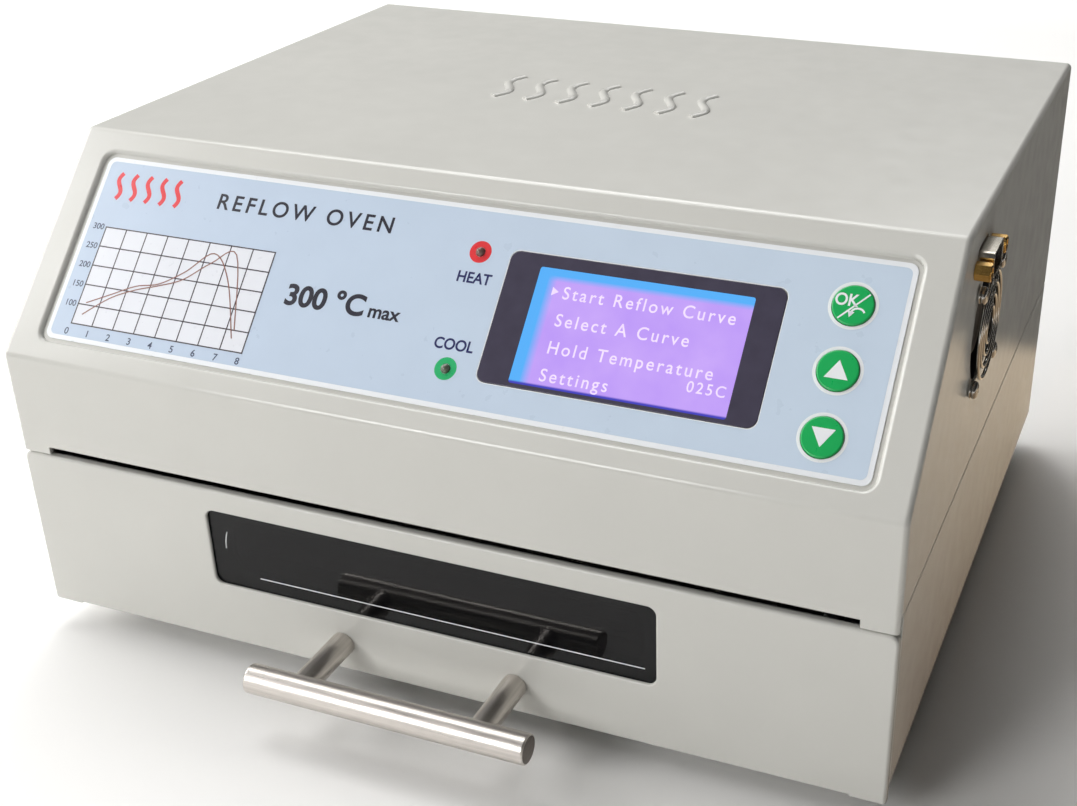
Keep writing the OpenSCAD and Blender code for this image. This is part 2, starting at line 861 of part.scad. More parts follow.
module jack_places() {
  for (s = [-1, 1]) on_side(port_y + s * jack_pitch / 2, port_z) children();
}

module serial_shell() {
  color(bright) on_side(port_y, port_z) difference() {
    union() {
      translate([0, 0, -sheet - 0.9]) plate(30.8, 12.5, 0.8, 1.5);
      translate([0, 0, -sheet - 0.9]) linear_extrude(6.8) polygon(d_outline(16.9, 8.3));
    }
    translate([0, 0, -sheet - 2]) linear_extrude(20) polygon(d_outline(16.1, 7.5));
    for (s = [-1, 1]) translate([s * jack_pitch / 2, 0, 0]) cylinder(h = 10, r = 1.45, center = true);
  }
}

module serial_insert() {
  pin_pitch = 2.77;
  color([0.15, 0.17, 0.30]) on_side(port_y, port_z, -sheet - 8) {
    linear_extrude(7.9) polygon(d_outline(15.9, 7.3));
    plate(19, 11, 6.9, 1);
    for (i = [0:4]) translate([(i - 2) * pin_pitch, 1.42, 7]) cylinder(h = 5.4, r = 0.5);
    for (i = [0:3]) translate([(i - 1.5) * pin_pitch, -1.42, 7]) cylinder(h = 5.4, r = 0.5);
  }
}

module jack_nuts() {
  color(brass) jack_places() difference() {
    union() {
      translate([0, 0, fit]) cylinder(h = 5, d = 5.77, $fn = 6);
      translate([0, 0, -4]) cylinder(h = 5, r = 1.4);
    }
    translate([0, 0, 0.6]) cylinder(h = 10, r = 1.25);
  }
}

// --- mains parts at the rear ---

module inlet_screw_places() {
  for (s = [-1, 1]) on_rear(inlet_x + 20 * s, inlet_z, 2.5) children();
}

module power_inlet() {
  color(black) difference() {
    on_rear(inlet_x, inlet_z) inlet_body();
    inlet_screw_places() cylinder(h = 20, r = screw_r + fit, center = true);
  }
  color(bright) on_rear(inlet_x, inlet_z) {
    for (s = [-1, 1]) translate([7 * s, -6.5, -15]) plate(2, 4, 14, 0.2);
    translate([0, -2.6, -15]) plate(2, 4, 15.5, 0.2);
  }
}

// Flanged housing with the socket below and the fuse drawer's slot above
module inlet_body() {
  difference() {
    union() {
      translate([0, 0, fit]) plate(48, 34, 2.4, 2);
      translate([0, 0, -24]) plate(27.4, 31.4, 24 + fit, 1);
    }
    translate([0, -4.6, -14]) plate(24.2, 16.6, 30, 2);
    translate([0, 10.4, -19]) plate(25.2, 8.2, 30, 0.5);
  }
}

module fuse_drawer() {
  color(black) on_rear(inlet_x, inlet_z) translate([0, 10.4, 0]) difference() {
    union() {
      translate([0, 0, -18]) plate(24.8, 7.8, 20.6, 0.5);
      translate([0, -2.6, 2.55]) plate(10, 2, 1.2, 0.5);
    }
    translate([0, 0, -14]) plate(20.6, 12, 5.6, 0.4);
  }
}

module switch_housing() {
  color(black) on_rear(switch_x, switch_z) difference() {
    union() {
      translate([0, 0, fit]) plate(21, 15, 1.8, 1);
      translate([0, 0, -16]) plate(19, 12.8, 16 + fit, 0.5);
    }
    translate([0, 0, -7]) plate(17, 10.6, 20, 0.5);
    translate([0, 0, -2]) rotate([90, 0, 0]) cylinder(h = 11.8, r = 1.05, center = true);
  }
}

module switch_rocker() {
  color(black) on_rear(switch_x, switch_z) translate([0, 0, -2]) rotate([0, 9, 0]) {
    intersection() {
      translate([0, 0, -1]) rotate([90, 0, 0]) linear_extrude(10.2, center = true)
        polygon([[-2, -2], [2, -2], [8, 3.4], [7.4, 6.4], [0, 4.6], [-7.4, 6.4], [-8, 3.4]]);
      cube([30, 30, 30], center = true);
    }
    rotate([90, 0, 0]) cylinder(h = 11.6, r = 1, center = true);
  }
}

// --- electronics on the shelf ---

module board_places() {
  for (x = [-6, 104], y = [-44, 36]) translate([x, y, shelf_z + sheet]) children();
}

module control_board() {
  stand = 8;
  color(board_green) {
    board_places() cylinder(h = stand, r = 2.8);
    translate([49, -4, shelf_z + sheet + stand]) {
      plate(122, 92, 1.6, 2);
      translate([-40, 24, 1.6]) plate(30, 20, 9, 1);
      translate([10, 10, 1.6]) plate(14, 14, 1.4, 0.5);
      translate([40, -30, 1.6]) plate(34, 10, 11, 1);
      for (x = [-44, -32, -20]) translate([x, -24, 1.6]) cylinder(h = 14, r = 4.5);
      for (x = [22, 34, 46]) translate([x, 28, 1.6]) plate(9, 16, 12, 0.6);
    }
  }
}

module transformer() {
  color([0.35, 0.30, 0.26]) translate([-92, -8, shelf_z + sheet]) {
    plate(60, 30, 50, 1);
    plate(78, 24, 2, 2);
  }
  color([0.75, 0.45, 0.20]) translate([-92, -8, shelf_z + sheet + 10]) plate(36, 46, 30, 4);
}

base_pan();
front_frame();
rear_panel();
top_cover();
rubber_feet();
foot_screws();
rear_screws();
chamber_liner();
ceiling_insulation();
side_insulation();
equipment_shelf();
reflector();
quartz_tubes();
heater_rods();
tube_holders();
thermocouple();
rail_outer_left();
rail_outer_right();
rail_middle_left();
rail_middle_right();
rail_inner_left();
rail_inner_right();
drawer_front();
drawer_window();
drawer_inner_panel();
drawer_tray();
tray_insulation();
tray_liner();
board_rack();
drawer_screws();
handle_bar();
handle_posts();
handle_screws();
front_overlay();
display_lens();
display_frame();
display_board();
key_ok();
key_up();
key_down();
key_board();
heat_lamp();
cool_lamp();
side_fan_frame();
side_fan_rotor();
side_fan_guard();
side_fan_screws();
serial_shell();
serial_insert();
jack_nuts();
rear_fan_frame();
rear_fan_rotor();
rear_fan_guard();
rear_fan_screws();
power_inlet();
fuse_drawer();
switch_housing();
switch_rocker();
control_board();
transformer();
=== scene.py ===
"""Looks of a bench reflow oven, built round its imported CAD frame.

Everything is in metres in the frame's own axes: X to the oven's right, Y to its back, Z up.
Places and outer sizes come from the CAD nodes; each visible piece is rebuilt with rounded
edges and takes a procedural finish.
"""
import json
from math import cos, pi, radians, sin, sqrt, tan

import bmesh
import bpy
from mathutils import Matrix, Vector

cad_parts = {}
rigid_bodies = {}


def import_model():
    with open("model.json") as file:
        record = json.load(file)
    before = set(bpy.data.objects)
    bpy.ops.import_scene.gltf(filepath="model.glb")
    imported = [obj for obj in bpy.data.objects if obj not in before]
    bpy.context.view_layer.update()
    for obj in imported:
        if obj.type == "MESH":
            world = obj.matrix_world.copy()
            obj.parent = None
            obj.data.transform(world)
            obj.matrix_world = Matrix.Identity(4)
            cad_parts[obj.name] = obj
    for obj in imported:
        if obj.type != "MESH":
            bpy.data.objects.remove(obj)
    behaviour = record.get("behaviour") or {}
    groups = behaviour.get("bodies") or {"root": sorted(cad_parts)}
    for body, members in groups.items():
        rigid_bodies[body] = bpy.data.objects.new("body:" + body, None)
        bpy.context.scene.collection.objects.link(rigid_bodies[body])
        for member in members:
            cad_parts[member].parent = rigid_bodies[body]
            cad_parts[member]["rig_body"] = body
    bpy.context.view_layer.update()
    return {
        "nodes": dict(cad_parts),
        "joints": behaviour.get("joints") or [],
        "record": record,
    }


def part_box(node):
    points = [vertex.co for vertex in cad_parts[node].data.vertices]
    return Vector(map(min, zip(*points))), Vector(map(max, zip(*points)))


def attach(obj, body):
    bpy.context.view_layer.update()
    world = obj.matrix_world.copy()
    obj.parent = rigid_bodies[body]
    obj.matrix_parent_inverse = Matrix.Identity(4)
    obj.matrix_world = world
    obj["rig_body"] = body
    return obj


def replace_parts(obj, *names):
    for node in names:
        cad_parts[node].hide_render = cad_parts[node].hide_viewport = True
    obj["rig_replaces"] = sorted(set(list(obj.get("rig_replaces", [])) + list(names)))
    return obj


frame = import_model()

mm = 0.001
RIGHT, BACK, UP = Vector((1, 0, 0)), Vector((0, 1, 0)), Vector((0, 0, 1))
QUARTER = pi / 2
nodes = frame["nodes"]
joints = {joint["name"]: joint for joint in frame["joints"]}
slot_of = {part["node"]: part["material_slot"] for part in frame["record"]["subparts"]}

# ---- places on the oven


def middle(node):
    low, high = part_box(node)
    return (low + high) / 2


def extent(node):
    low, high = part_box(node)
    return high - low


def placed(origin, right, up):
    """Matrix of a place: local x is right, y is up, and z points out of the surface."""
    matrix = Matrix((right, up, right.cross(up))).transposed().to_4x4()
    matrix.translation = origin
    return matrix


sheet = 1.2 * mm
cover_low, cover_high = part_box("top_cover")
half_w = cover_high.x
front_y = cover_low.y
rear_y = cover_high.y
top_z = cover_high.z
lip_z = cover_low.z
seam_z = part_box("base_pan")[1].z - 14 * mm
rear_wall_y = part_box("rear_panel")[1].y

# The tilted face: keys move square to it, and it is the cover's outermost plane that way
face_out = -Vector(joints["ok_press"]["axis"])
face_up = face_out.cross(RIGHT)
face_level = max(v.co.dot(face_out) for v in nodes["top_cover"].data.vertices)
bend_y = (face_level - face_out.z * top_z) / face_out.y
brow_z = (face_level - face_out.y * front_y) / face_out.z
top_bend = Vector((0, bend_y, top_z))


def on_face(x, v, n=0.0):
    """Place on the tilted face, v down it from the top bend and n out of it."""
    return placed(top_bend + RIGHT * x - face_up * v + face_out * n, RIGHT, face_up)


def face_spot(node):
    """A node's middle as (x, v) on the tilted face."""
    spot = middle(node) - top_bend
    return spot.x, -spot.dot(face_up)


def on_side(at):
    return placed(Vector((half_w, at.y, at.z)), BACK, UP)


def on_rear(at):
    return placed(Vector((at.x, rear_wall_y, at.z)), -RIGHT, UP)


def on_front(x, z, out=0.0):
    return placed(Vector((x, front_y - out, z)), RIGHT, UP)


def on_top(x, y, out=0.0):
    return placed(Vector((x, y, top_z + out)), RIGHT, BACK)


def islands(node):
    """(low, high) of every separate solid in a CAD node."""
    work = bmesh.new()
    work.from_mesh(nodes[node].data)
    bmesh.ops.remove_doubles(work, verts=work.verts, dist=0.001 * mm)
    left, found = set(work.verts), []
    while left:
        waiting, group = [left.pop()], []
        while waiting:
            vert = waiting.pop()
            group.append(vert.co.copy())
            near = {edge.other_vert(vert) for edge in vert.link_edges} & left
            left -= near
            waiting += near
        corners = [[pick(p[i] for p in group) for i in range(3)] for pick in (min, max)]
        found.append([Vector(corner) for corner in corners])
    work.free()
    return sorted(found, key=lambda box: tuple(round(c, 5) for c in box[0]))


def spots(node):
    """Middle of every separate solid in a CAD node."""
    return [(low + high) / 2 for low, high in islands(node)]


# ---- outlines and solids


def round_rect(w, h, r, steps=6):
    """Outline of a rectangle with round corners, as a function of how far it grows."""

    def outline(grow=0.0):
        points = []
        radius = max(r + grow, 0.01 * mm)
        for i, (sx, sy) in enumerate(((1, 1), (-1, 1), (-1, -1), (1, -1))):
            cx, cy = sx * (w / 2 + grow - radius), sy * (h / 2 + grow - radius)
            for k in range(steps + 1):
                a = (i + k / steps) * QUARTER
                points.append((cx + radius * cos(a), cy + radius * sin(a)))
        return points

    return outline


def around(steps):
    return [4 * QUARTER * k / steps for k in range(steps)]


def turns_up(steps=8):
    return [QUARTER * k / steps for k in range(steps + 1)]


def disc(r=0.0, steps=48):
    def outline(grow=0.0):
        return [((r + grow) * cos(a), (r + grow) * sin(a)) for a in around(steps)]

    return outline


def added(name, data):
    made = bpy.data.objects.new(name, data)
    bpy.context.scene.collection.objects.link(made)
    return made


def mesh_object(work, place, name="solid"):
    bmesh.ops.remove_doubles(work, verts=work.verts, dist=0.0005 * mm)
    bmesh.ops.recalc_face_normals(work, faces=work.faces)
    mesh = bpy.data.meshes.new(name)
    work.to_mesh(mesh)
    work.free()
    solid = added(name, mesh)
    solid.matrix_world = place
    return solid


def add_rings(work, rings, loop=False):
    """Adds quads between rings of points, and a face over each end unless it is a loop."""
    rows = [[work.verts.new(point) for point in ring] for ring in rings]
    pairs = list(zip(rows, rows[1:] + rows[:1])) if loop else list(zip(rows, rows[1:]))
    for a, b in pairs:
        for i in range(len(a)):
            j = (i + 1) % len(a)
            work.faces.new((a[i], a[j], b[j], b[i]))
    if not loop:
        work.faces.new(rows[0][::-1])
        work.faces.new(rows[-1])


def loft(rings, place=Matrix(), loop=False):
    work = bmesh.new()
    add_rings(work, rings, loop)
    return mesh_object(work, place)


def stack(outline, levels, place=Matrix(), loop=False):
    """Solid whose cross-section at height z is the outline grown by g, for each (g, z)."""
    return loft([[(x, y, z) for x, y in outline(g)] for g, z in levels], place, loop)


def soft_top(z, r, steps=4):
    return [(r * (cos(a) - 1), z - r + r * sin(a)) for a in turns_up(steps)]


def soft_low(z, r, steps=4):
    return [(g, 2 * z - h) for g, h in reversed(soft_top(z, r, steps))]


def flared(z, r, steps=5):
    """Levels of a cutter that leaves a rim rounded by r at height z."""
    return [(r * (1 - cos(a)), z - r + r * sin(a)) for a in turns_up(steps)]


def mms(*points):
    """Points given in millimetres."""
    return [tuple(c * mm for c in point) for point in points]


def hole(outline, place):
    """Cutter that passes right through a sheet."""
    return stack(outline, [(0, -10 * mm), (0, 10 * mm)], place)


def block(low, high):
    size = Vector(high) - Vector(low)
    centre = Matrix.Translation((Vector(low) + Vector(high)) / 2)
    levels = [(0, -size.z / 2), (0, size.z / 2)]
    return stack(round_rect(size.x, size.y, 0, 1), levels, centre)


def lathe(profile, place=Matrix(), steps=48):
    """Solid of revolution about local z, from (radius, z) points."""
    return stack(disc(0, steps), profile, place)


def add_tube(work, path, r, closed=False, steps=12):
    """Round wire along a path of points."""
    points = [Vector(p) for p in path]
    count = len(points)
    side = None
    rings = []
    for i, point in enumerate(points):
        after = points[(i + 1) % count] if closed or i < count - 1 else point
        before = points[i - 1] if closed or i else point
        along = (after - before).normalized()
        if side is None:
            side = along.orthogonal().normalized()
        side = (side - along * side.dot(along)).normalized()
        other = along.cross(side)
        round_it = [side * cos(a) + other * sin(a) for a in around(steps)]
        rings.append([point + spoke * r for spoke in round_it])
    add_rings(work, rings, closed)


def tube(path, r, place, closed=False, steps=12):
    work = bmesh.new()
    add_tube(work, path, r, closed, steps)
    return mesh_object(work, place)


def evaluated(thing):
    """The mesh that a thing's modifiers or letters come to."""
    bpy.context.view_layer.update()
    depsgraph = bpy.context.evaluated_depsgraph_get()
    return bpy.data.meshes.new_from_object(thing.evaluated_get(depsgraph))


def modify(solid, kind, **settings):
    step = solid.modifiers.new(kind.lower(), kind)
    for key, value in settings.items():
        setattr(step, key, value)


def bake(solid):
    mesh = evaluated(solid)
    solid.modifiers.clear()
    solid.data = mesh


def carve(solid, *tools, operation="DIFFERENCE"):
    """Cuts the tools out of a solid, or joins them to it, and removes them."""
    for tool in tools:
        modify(solid, "BOOLEAN", operation=operation, solver="EXACT", object=tool)
    bake(solid)
    for tool in tools:
        bpy.data.objects.remove(tool)
    return solid


def join(*solids):
    return carve(solids[0], *solids[1:], operation="UNION")


def gathered(parts, place=Matrix()):
    """One object of copies of solids, from (solid, matrix) parts; the solids go."""
    work = bmesh.new()
    for solid, at in parts:
        mesh = solid.data.copy()
        mesh.transform(place.inverted() @ at)
        work.from_mesh(mesh)
    for solid in {solid for solid, at in parts}:
        bpy.data.objects.remove(solid)
    return mesh_object(work, place)


def merged(solids, place=Matrix()):
    bpy.context.view_layer.update()
    return gathered([(solid, solid.matrix_world) for solid in solids], place)


def cad_copy(node):
    """A clean copy of a CAD node: welded, with its flat faces whole."""
    work = bmesh.new()
    work.from_mesh(nodes[node].data)
    bmesh.ops.remove_doubles(work, verts=work.verts, dist=0.001 * mm)
    bmesh.ops.dissolve_limit(work, angle_limit=radians(1), verts=work.verts, edges=work.edges)
    solid = mesh_object(work, Matrix(), node)
    for name in ("custom_normal", "sharp_face", "sharp_edge"):
        if name in solid.data.attributes:
            solid.data.attributes.remove(solid.data.attributes[name])
    return solid


# ---- finishes


def linear(value):
    value /= 255
    return value / 12.92 if value <= 0.04045 else ((value + 0.055) / 1.055) ** 2.4


def rgb(red, green, blue):
    """Colour from its 0 to 255 display values."""
    return (linear(red), linear(green), linear(blue), 1)


def shade(color, factor):
    return tuple(min(c * factor, 1) for c in color[:3]) + (1,)


EVEN = (1, 1, 1)


def feed(tree, value, socket):
    """Links an output to a socket, or sets the socket to a plain value."""
    if isinstance(value, bpy.types.NodeSocket):
        tree.links.new(value, socket)
    else:
        socket.default_value = value


def add_node(tree, kind, settings=(), **inputs):
    made = tree.nodes.new("ShaderNode" + kind)
    for key, value in dict(settings).items():
        setattr(made, key, value)
    for key, value in inputs.items():
        feed(tree, value, made.inputs[key.replace("_", " ")])
    return made


class Finish:
    """A procedural material: layers of noise drive its colour, gloss and relief."""

    def __init__(self, name, color, rough, metal=0.0, **sockets):
        self.name, self.color, self.rough, self.normal = name, color, rough, None
        self.material = bpy.data.materials.new(name)
        self.material.use_nodes = True
        self.tree = self.material.node_tree
        self.shader = self.tree.nodes["Principled BSDF"]
        fixed = {"Base Color": color, "Roughness": rough, "Metallic": metal, **sockets}
        for key, value in fixed.items():
            self.shader.inputs[key].default_value = value
        self.coords = self.node("TexCoord").outputs["Object"]

    def node(self, kind, settings=(), **inputs):
        return add_node(self.tree, kind, settings, **inputs)

    def texture(self, kind, size, stretch, **inputs):
        """Texture with features of that size in mm, longer along a stretched axis."""
        scale = [1 / (size * mm * s) for s in stretch]
        spread = self.node("Mapping", Vector=self.coords, Scale=scale)
        return self.node(kind, Vector=spread.outputs[0], Scale=1.0, **inputs)

    def noise(self, size, stretch=EVEN, detail=3.0):
        return self.texture("TexNoise", size, stretch, Detail=detail).outputs[0]

    def spots(self, size):
        """Scattered cells: a texture node that gives their colours and distances."""
        return self.texture("TexVoronoi", size, EVEN)

    def between(self, source, low, high, start=0.3, end=0.7):
        ends = {"From_Min": start, "From_Max": end, "To_Min": low, "To_Max": high}
        return self.node("MapRange", Value=source, **ends).outputs[0]

    def blend(self, fac, a, b):
        mix = self.node("Mix", {"data_type": "RGBA"})
        for value, socket in ((fac, 0), (a, 6), (b, 7)):
            feed(self.tree, value, mix.inputs[socket])
        return mix.outputs[2]

    def drive(self, name, source):
        self.tree.links.new(source, self.shader.inputs[name])

    def tint(self, source, spread):
        """Colour wandering by the share spread either side of the base colour."""
        low, high = shade(self.color, 1 - spread), shade(self.color, 1 + spread)
        self.drive("Base Color", self.blend(self.between(source, 0, 1), low, high))

    def gloss(self, source, spread):
        low, high = max(self.rough - spread, 0.02), self.rough + spread
        self.drive("Roughness", self.between(source, low, high))

    def relief(self, source, height):
        bump = self.node("Bump", Height=source, Distance=height * mm, Strength=1.0)
        if self.normal:
            self.tree.links.new(self.normal, bump.inputs["Normal"])
        self.normal = bump.outputs[0]
        self.drive("Normal", self.normal)


def layered(name, color, rough, tint, gloss, *reliefs, metal=0.0, **sockets):
    """Finish from (size, spread) of tint and gloss and (height, size, ...) of reliefs, in mm."""
    finish = Finish(name, color, rough, metal, **sockets)
    finish.tint(finish.noise(tint[0]), tint[1])
    finish.gloss(finish.noise(gloss[0]), gloss[1])
    for height, *noise in reliefs:
        finish.relief(finish.noise(*noise), height)
    return finish


def powder_coat(name, color):
    """Satin baked enamel: a shallow orange peel under a fine grain."""
    peel, grain = (0.006, 1.6, EVEN, 2), (0.0012, 0.35, EVEN, 1)
    layers = (45, 0.018), (9, 0.035), peel, grain
    return layered(name, color, 0.23, *layers, **{"Specular IOR Level": 0.55})


def brushed(name, color, rough, stretch, size=0.16, height=0.0025):
    """Metal with fine parallel scratches along the stretched axis."""
    finish = Finish(name, color, rough, 1.0)
    lines = finish.noise(size, stretch, 4)
    finish.tint(finish.noise(size * 3, stretch, 3), 0.10)
    finish.gloss(lines, 0.07)
    finish.relief(lines, height)
    return finish


def plated(name, color, rough):
    """Bright plating with faint clouding and pits."""
    layers = (2.2, 0.06), (0.7, 0.05), (0.0015, 0.4)
    return layered(name, color, rough, *layers, metal=1.0)


def galvanised(name, color):
    """Zinc-coated sheet with its spangle of crystals."""
    finish = Finish(name, color, 0.42, 1.0)
    crystals = finish.spots(7)
    finish.tint(crystals.outputs["Color"], 0.12)
    finish.gloss(crystals.outputs["Distance"], 0.08)
    finish.relief(finish.noise(0.8), 0.002)
    return finish


def moulded(name, color, rough, grain=0.35, height=0.003):
    """Moulded plastic with a spark-eroded grain."""
    return layered(name, color, rough, (6, 0.08), (1.2, 0.05), (height, grain))


def ink(name, color, rough=0.3):
    """Screen-printed ink: even, with the film's faint texture."""
    layers = (18, 0.012), (3, 0.03), (0.0008, 0.25)
    return layered(name, color, rough, *layers)


def fibrous(name, color):
    """Ceramic fibre board: soft clumps of short strands."""
    strands = (0.05, 0.6, (1, 6, 1)), (0.04, 0.5, (5, 1, 1))
    layers = (5, 0.07), (2, 0.04), *strands
    return layered(name, color, 0.95, *layers, **{"Sheen Weight": 0.2})


def soldered_board(name, color):
    """Solder mask over copper tracks, which show as a slight relief."""
    finish = Finish(name, color, 0.35)
    tracks = finish.spots(2.4).outputs["Distance"]
    finish.tint(tracks, 0.25)
    finish.gloss(finish.noise(1.5), 0.06)
    finish.relief(tracks, 0.02)
    return finish


def glazed(name, color, rough, alpha, **sockets):
    """Glass: nearly clear relief, a trace of dust in the gloss."""
    layers = (14, 0.10), (4, 0.012), (0.003, 12, EVEN, 1)
    return layered(name, color, rough, *layers, Alpha=alpha, **sockets)


ALONG_X, ALONG_Z = (60, 1, 1), (1, 1, 60)
materials = (
    powder_coat("cream_paint", rgb(208, 207, 201)),
    plated("screw_steel", rgb(196, 194, 190), 0.22),
    moulded("rubber_black", rgb(30, 30, 31), 0.78, 0.6, 0.02),
    galvanised("galvanised", rgb(196, 198, 198)),
    brushed("stainless", rgb(190, 186, 180), 0.26, ALONG_X),
    plated("reflector_sheet", rgb(226, 226, 228), 0.16),
    glazed("quartz", rgb(238, 238, 235), 0.04, 0.42),
    moulded("heater_wire", rgb(92, 82, 76), 0.6, 0.5, 0.05),
    moulded("ceramic_white", rgb(226, 222, 210), 0.55, 0.5, 0.01),
    fibrous("fibre_board", rgb(226, 220, 204)),
    # smoked_glass: near black and 0.8 opaque, painted shade that stands in for the unlit inside of
    # the oven behind the window
    glazed("smoked_glass", rgb(12, 12, 14), 0.03, 0.8, **{"Specular IOR Level": 0.34}),
    ink("overlay_film", rgb(238, 241, 244)),
    moulded("display_lens", rgb(70, 66, 82), 0.16, 0.5, 0.0008),
    moulded("display_metal", rgb(30, 30, 33), 0.45),
    soldered_board("circuit_board", rgb(28, 92, 56)),
    ink("key_green", rgb(22, 172, 88)),
    moulded("lamp_red", rgb(120, 92, 84), 0.16, 0.3, 0.001),
    moulded("lamp_green", rgb(104, 112, 96), 0.16, 0.3, 0.001),
    moulded("fan_black", rgb(34, 34, 36), 0.46),
    plated("guard_wire", rgb(205, 203, 198), 0.14),
    plated("nickel", rgb(196, 190, 178), 0.22),
    moulded("port_blue", rgb(42, 46, 70), 0.42),
    brushed("brass_hex", rgb(228, 184, 106), 0.22, ALONG_Z, 0.3),
    moulded("inlet_black", rgb(30, 30, 31), 0.36),
    brushed("core_steel", rgb(104, 98, 92), 0.5, ALONG_X, 0.5, 0.05),
)
finishes = {finish.name: finish for finish in materials}
ink_colors = {
    "white": (240, 242, 244),
    "cell": (228, 230, 236),
    "red": (226, 54, 60),
    "green": (40, 178, 108),
    "navy": (38, 42, 96),
    "black": (38, 36, 50),
    "line": (66, 58, 66),
    "brown": (142, 96, 84),
    "grey": (66, 74, 102),
}
prints = {name: ink("print_" + name, rgb(*color)) for name, color in ink_colors.items()}


def printed_field():
    """Pale blue printing, a little lighter towards the right end."""
    finish = Finish("print_field", rgb(196, 209, 227), 0.30)
    across = finish.node("SeparateXYZ", Vector=finish.coords)
    fac = finish.between(across.outputs["X"], 0, 1, -120 * mm, 140 * mm)
    soft = finish.between(finish.noise(20), 0, 1)
    left = finish.blend(soft, rgb(188, 203, 222), rgb(191, 206, 225))
    right = finish.blend(soft, rgb(201, 216, 232), rgb(204, 219, 235))
    finish.drive("Base Color", finish.blend(fac, left, right))
    finish.gloss(finish.noise(6), 0.03)
    finish.relief(finish.noise(0.25), 0.0008)
    return finish


def lit_screen(w, h):
    """Backlit display: violet, with a cyan band at its left and upper edges."""
    finish = Finish("screen_light", rgb(40, 30, 60), 0.18, **{"Emission Strength": 0.92})
    place = finish.node("SeparateXYZ", Vector=finish.coords)
    left = finish.between(place.outputs["X"], 1, 0, -w / 2 + 3.4 * mm, -w / 2 + 6.6 * mm)
    top = finish.between(place.outputs["Y"], 0, 1, h / 2 - 4.2 * mm, h / 2 - 2.2 * mm)
    low = finish.between(place.outputs["Y"], 1, 0, -h / 2 + 0.5 * mm, -h / 2 + 1.1 * mm)
    cloud = finish.between(finish.noise(16), 0, 1)
    violet = finish.blend(cloud, rgb(192, 156, 252), rgb(206, 172, 255))
    cyan = rgb(84, 182, 255)
    glow = finish.blend(top, finish.blend(left, violet, cyan), cyan)
    finish.drive("Emission Color", finish.blend(low, glow, rgb(60, 64, 190)))
    finish.gloss(finish.noise(3), 0.02)
    finish.relief(finish.noise(0.3), 0.0005)
    return finish


def screen_text():
    finish = Finish("screen_text", rgb(90, 80, 110), 0.2, **{"Emission Strength": 0.95})
    glow = finish.between(finish.noise(3), 0, 1)
    finish.drive("Emission Color", finish.blend(glow, rgb(234, 214, 248), rgb(244, 230, 255)))
    finish.gloss(finish.noise(2), 0.03)
    return finish


# ---- finished pieces


def present(solid, name, node, finish=None, bevel=0.0, angle=35, stands_for=True, slot=None):
    """Makes a solid a finished piece on the body of a CAD node, in the finish of the node's slot
    unless another finish is given.
    """
    slot = slot or slot_of[node]
    solid.name = name
    solid.data.name = name
    solid.data.materials.clear()
    solid.data.materials.append((finish or finishes[slot]).material)
    solid.data.shade_smooth()
    if bevel:
        edge = {"width": bevel, "segments": 2, "angle_limit": radians(angle)}
        edge |= {"limit_method": "ANGLE", "use_clamp_overlap": False, "harden_normals": True}
        modify(solid, "BEVEL", **edge)
    else:
        solid.data.set_sharp_from_angle(angle=radians(angle))
    modify(solid, "WEIGHTED_NORMAL", keep_sharp=True)
    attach(solid, nodes[node]["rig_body"])
    if stands_for:
        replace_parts(solid, node)


def add_look(solid, name, node, finish=None, slot=None):
    """A piece that a CAD node doesn't have: printing, relief or a lit face on it."""
    present(solid, name, node, finish, stands_for=False, slot=slot)


def soften(node, bevel, name=None):
    """A CAD node with its edges broken by a fine bevel."""
    present(cad_copy(node), name or node + "_soft", node, bevel=bevel)


class Print:
    """Flat printing on one place, gathered into one thin piece per colour."""

    def __init__(self, place, thick=0.03 * mm):
        self.place, self.thick, self.work = place, thick, {}

    def ink(self, color):
        return self.work.setdefault(color, bmesh.new())

    def shape(self, color, outline, x=0.0, y=0.0, lift=0.0):
        rings = [[(x + px, y + py, lift + z) for px, py in outline] for z in (0, self.thick)]
        add_rings(self.ink(color), rings)

    def bar(self, color, x0, y0, x1, y1, lift=0.0):
        self.shape(color, [(x0, y0), (x1, y0), (x1, y1), (x0, y1)], lift=lift)

    def band(self, color, outer, inner, x, y):
        """Flat ring between two outlines with the same number of points."""
        work = self.ink(color)
        levels = ((outer, 0), (outer, self.thick), (inner, self.thick), (inner, 0))
        rings = [[(x + px, y + py, z) for px, py in outline] for outline, z in levels]
        add_rings(work, rings, loop=True)

    def stroke(self, color, path, width, lift=0.0):
        """Line of constant width through the points of a path."""
        points = [Vector(p).to_2d() for p in path]
        left, right = [], []
        for i, point in enumerate(points):
            along = points[min(i + 1, len(points) - 1)] - points[max(i - 1, 0)]
            side = Vector((-along.y, along.x)).normalized() * width / 2
            left.append(point + side)
            right.append(point - side)
        self.shape(color, [tuple(p) for p in left + right[::-1]], lift=lift)

    def text(self, color, words, cap, x, y, align="CENTER", stretch=1.0, weight=0.0, gap=1.0):
        """Letters whose capitals are cap tall, centred on y."""
        curve = bpy.data.curves.new("letters", "FONT")
        curve.body = words
        curve.align_x = align
        curve.extrude = 0.5
        curve.offset = weight
        curve.space_character = gap
        letters = added("letters", curve)
        mesh = evaluated(letters)
        bpy.data.objects.remove(letters)
        size = cap / 0.69
        scale = Matrix.Diagonal((size * stretch, size, self.thick, 1))
        place = Matrix.Translation((x, y, self.thick / 2))
        mesh.transform(place @ scale @ Matrix.Translation((0, -0.345, 0)))
        self.ink(color).from_mesh(mesh)

    def present(self, name, node, colors=prints):
        for color, work in self.work.items():
            add_look(mesh_object(work, self.place), f"{name}_{color}", node, colors[color])


# ---- housing

EDGE_R = 1.9 * mm
BEND_R = 3.0 * mm
FINE = 0.25 * mm


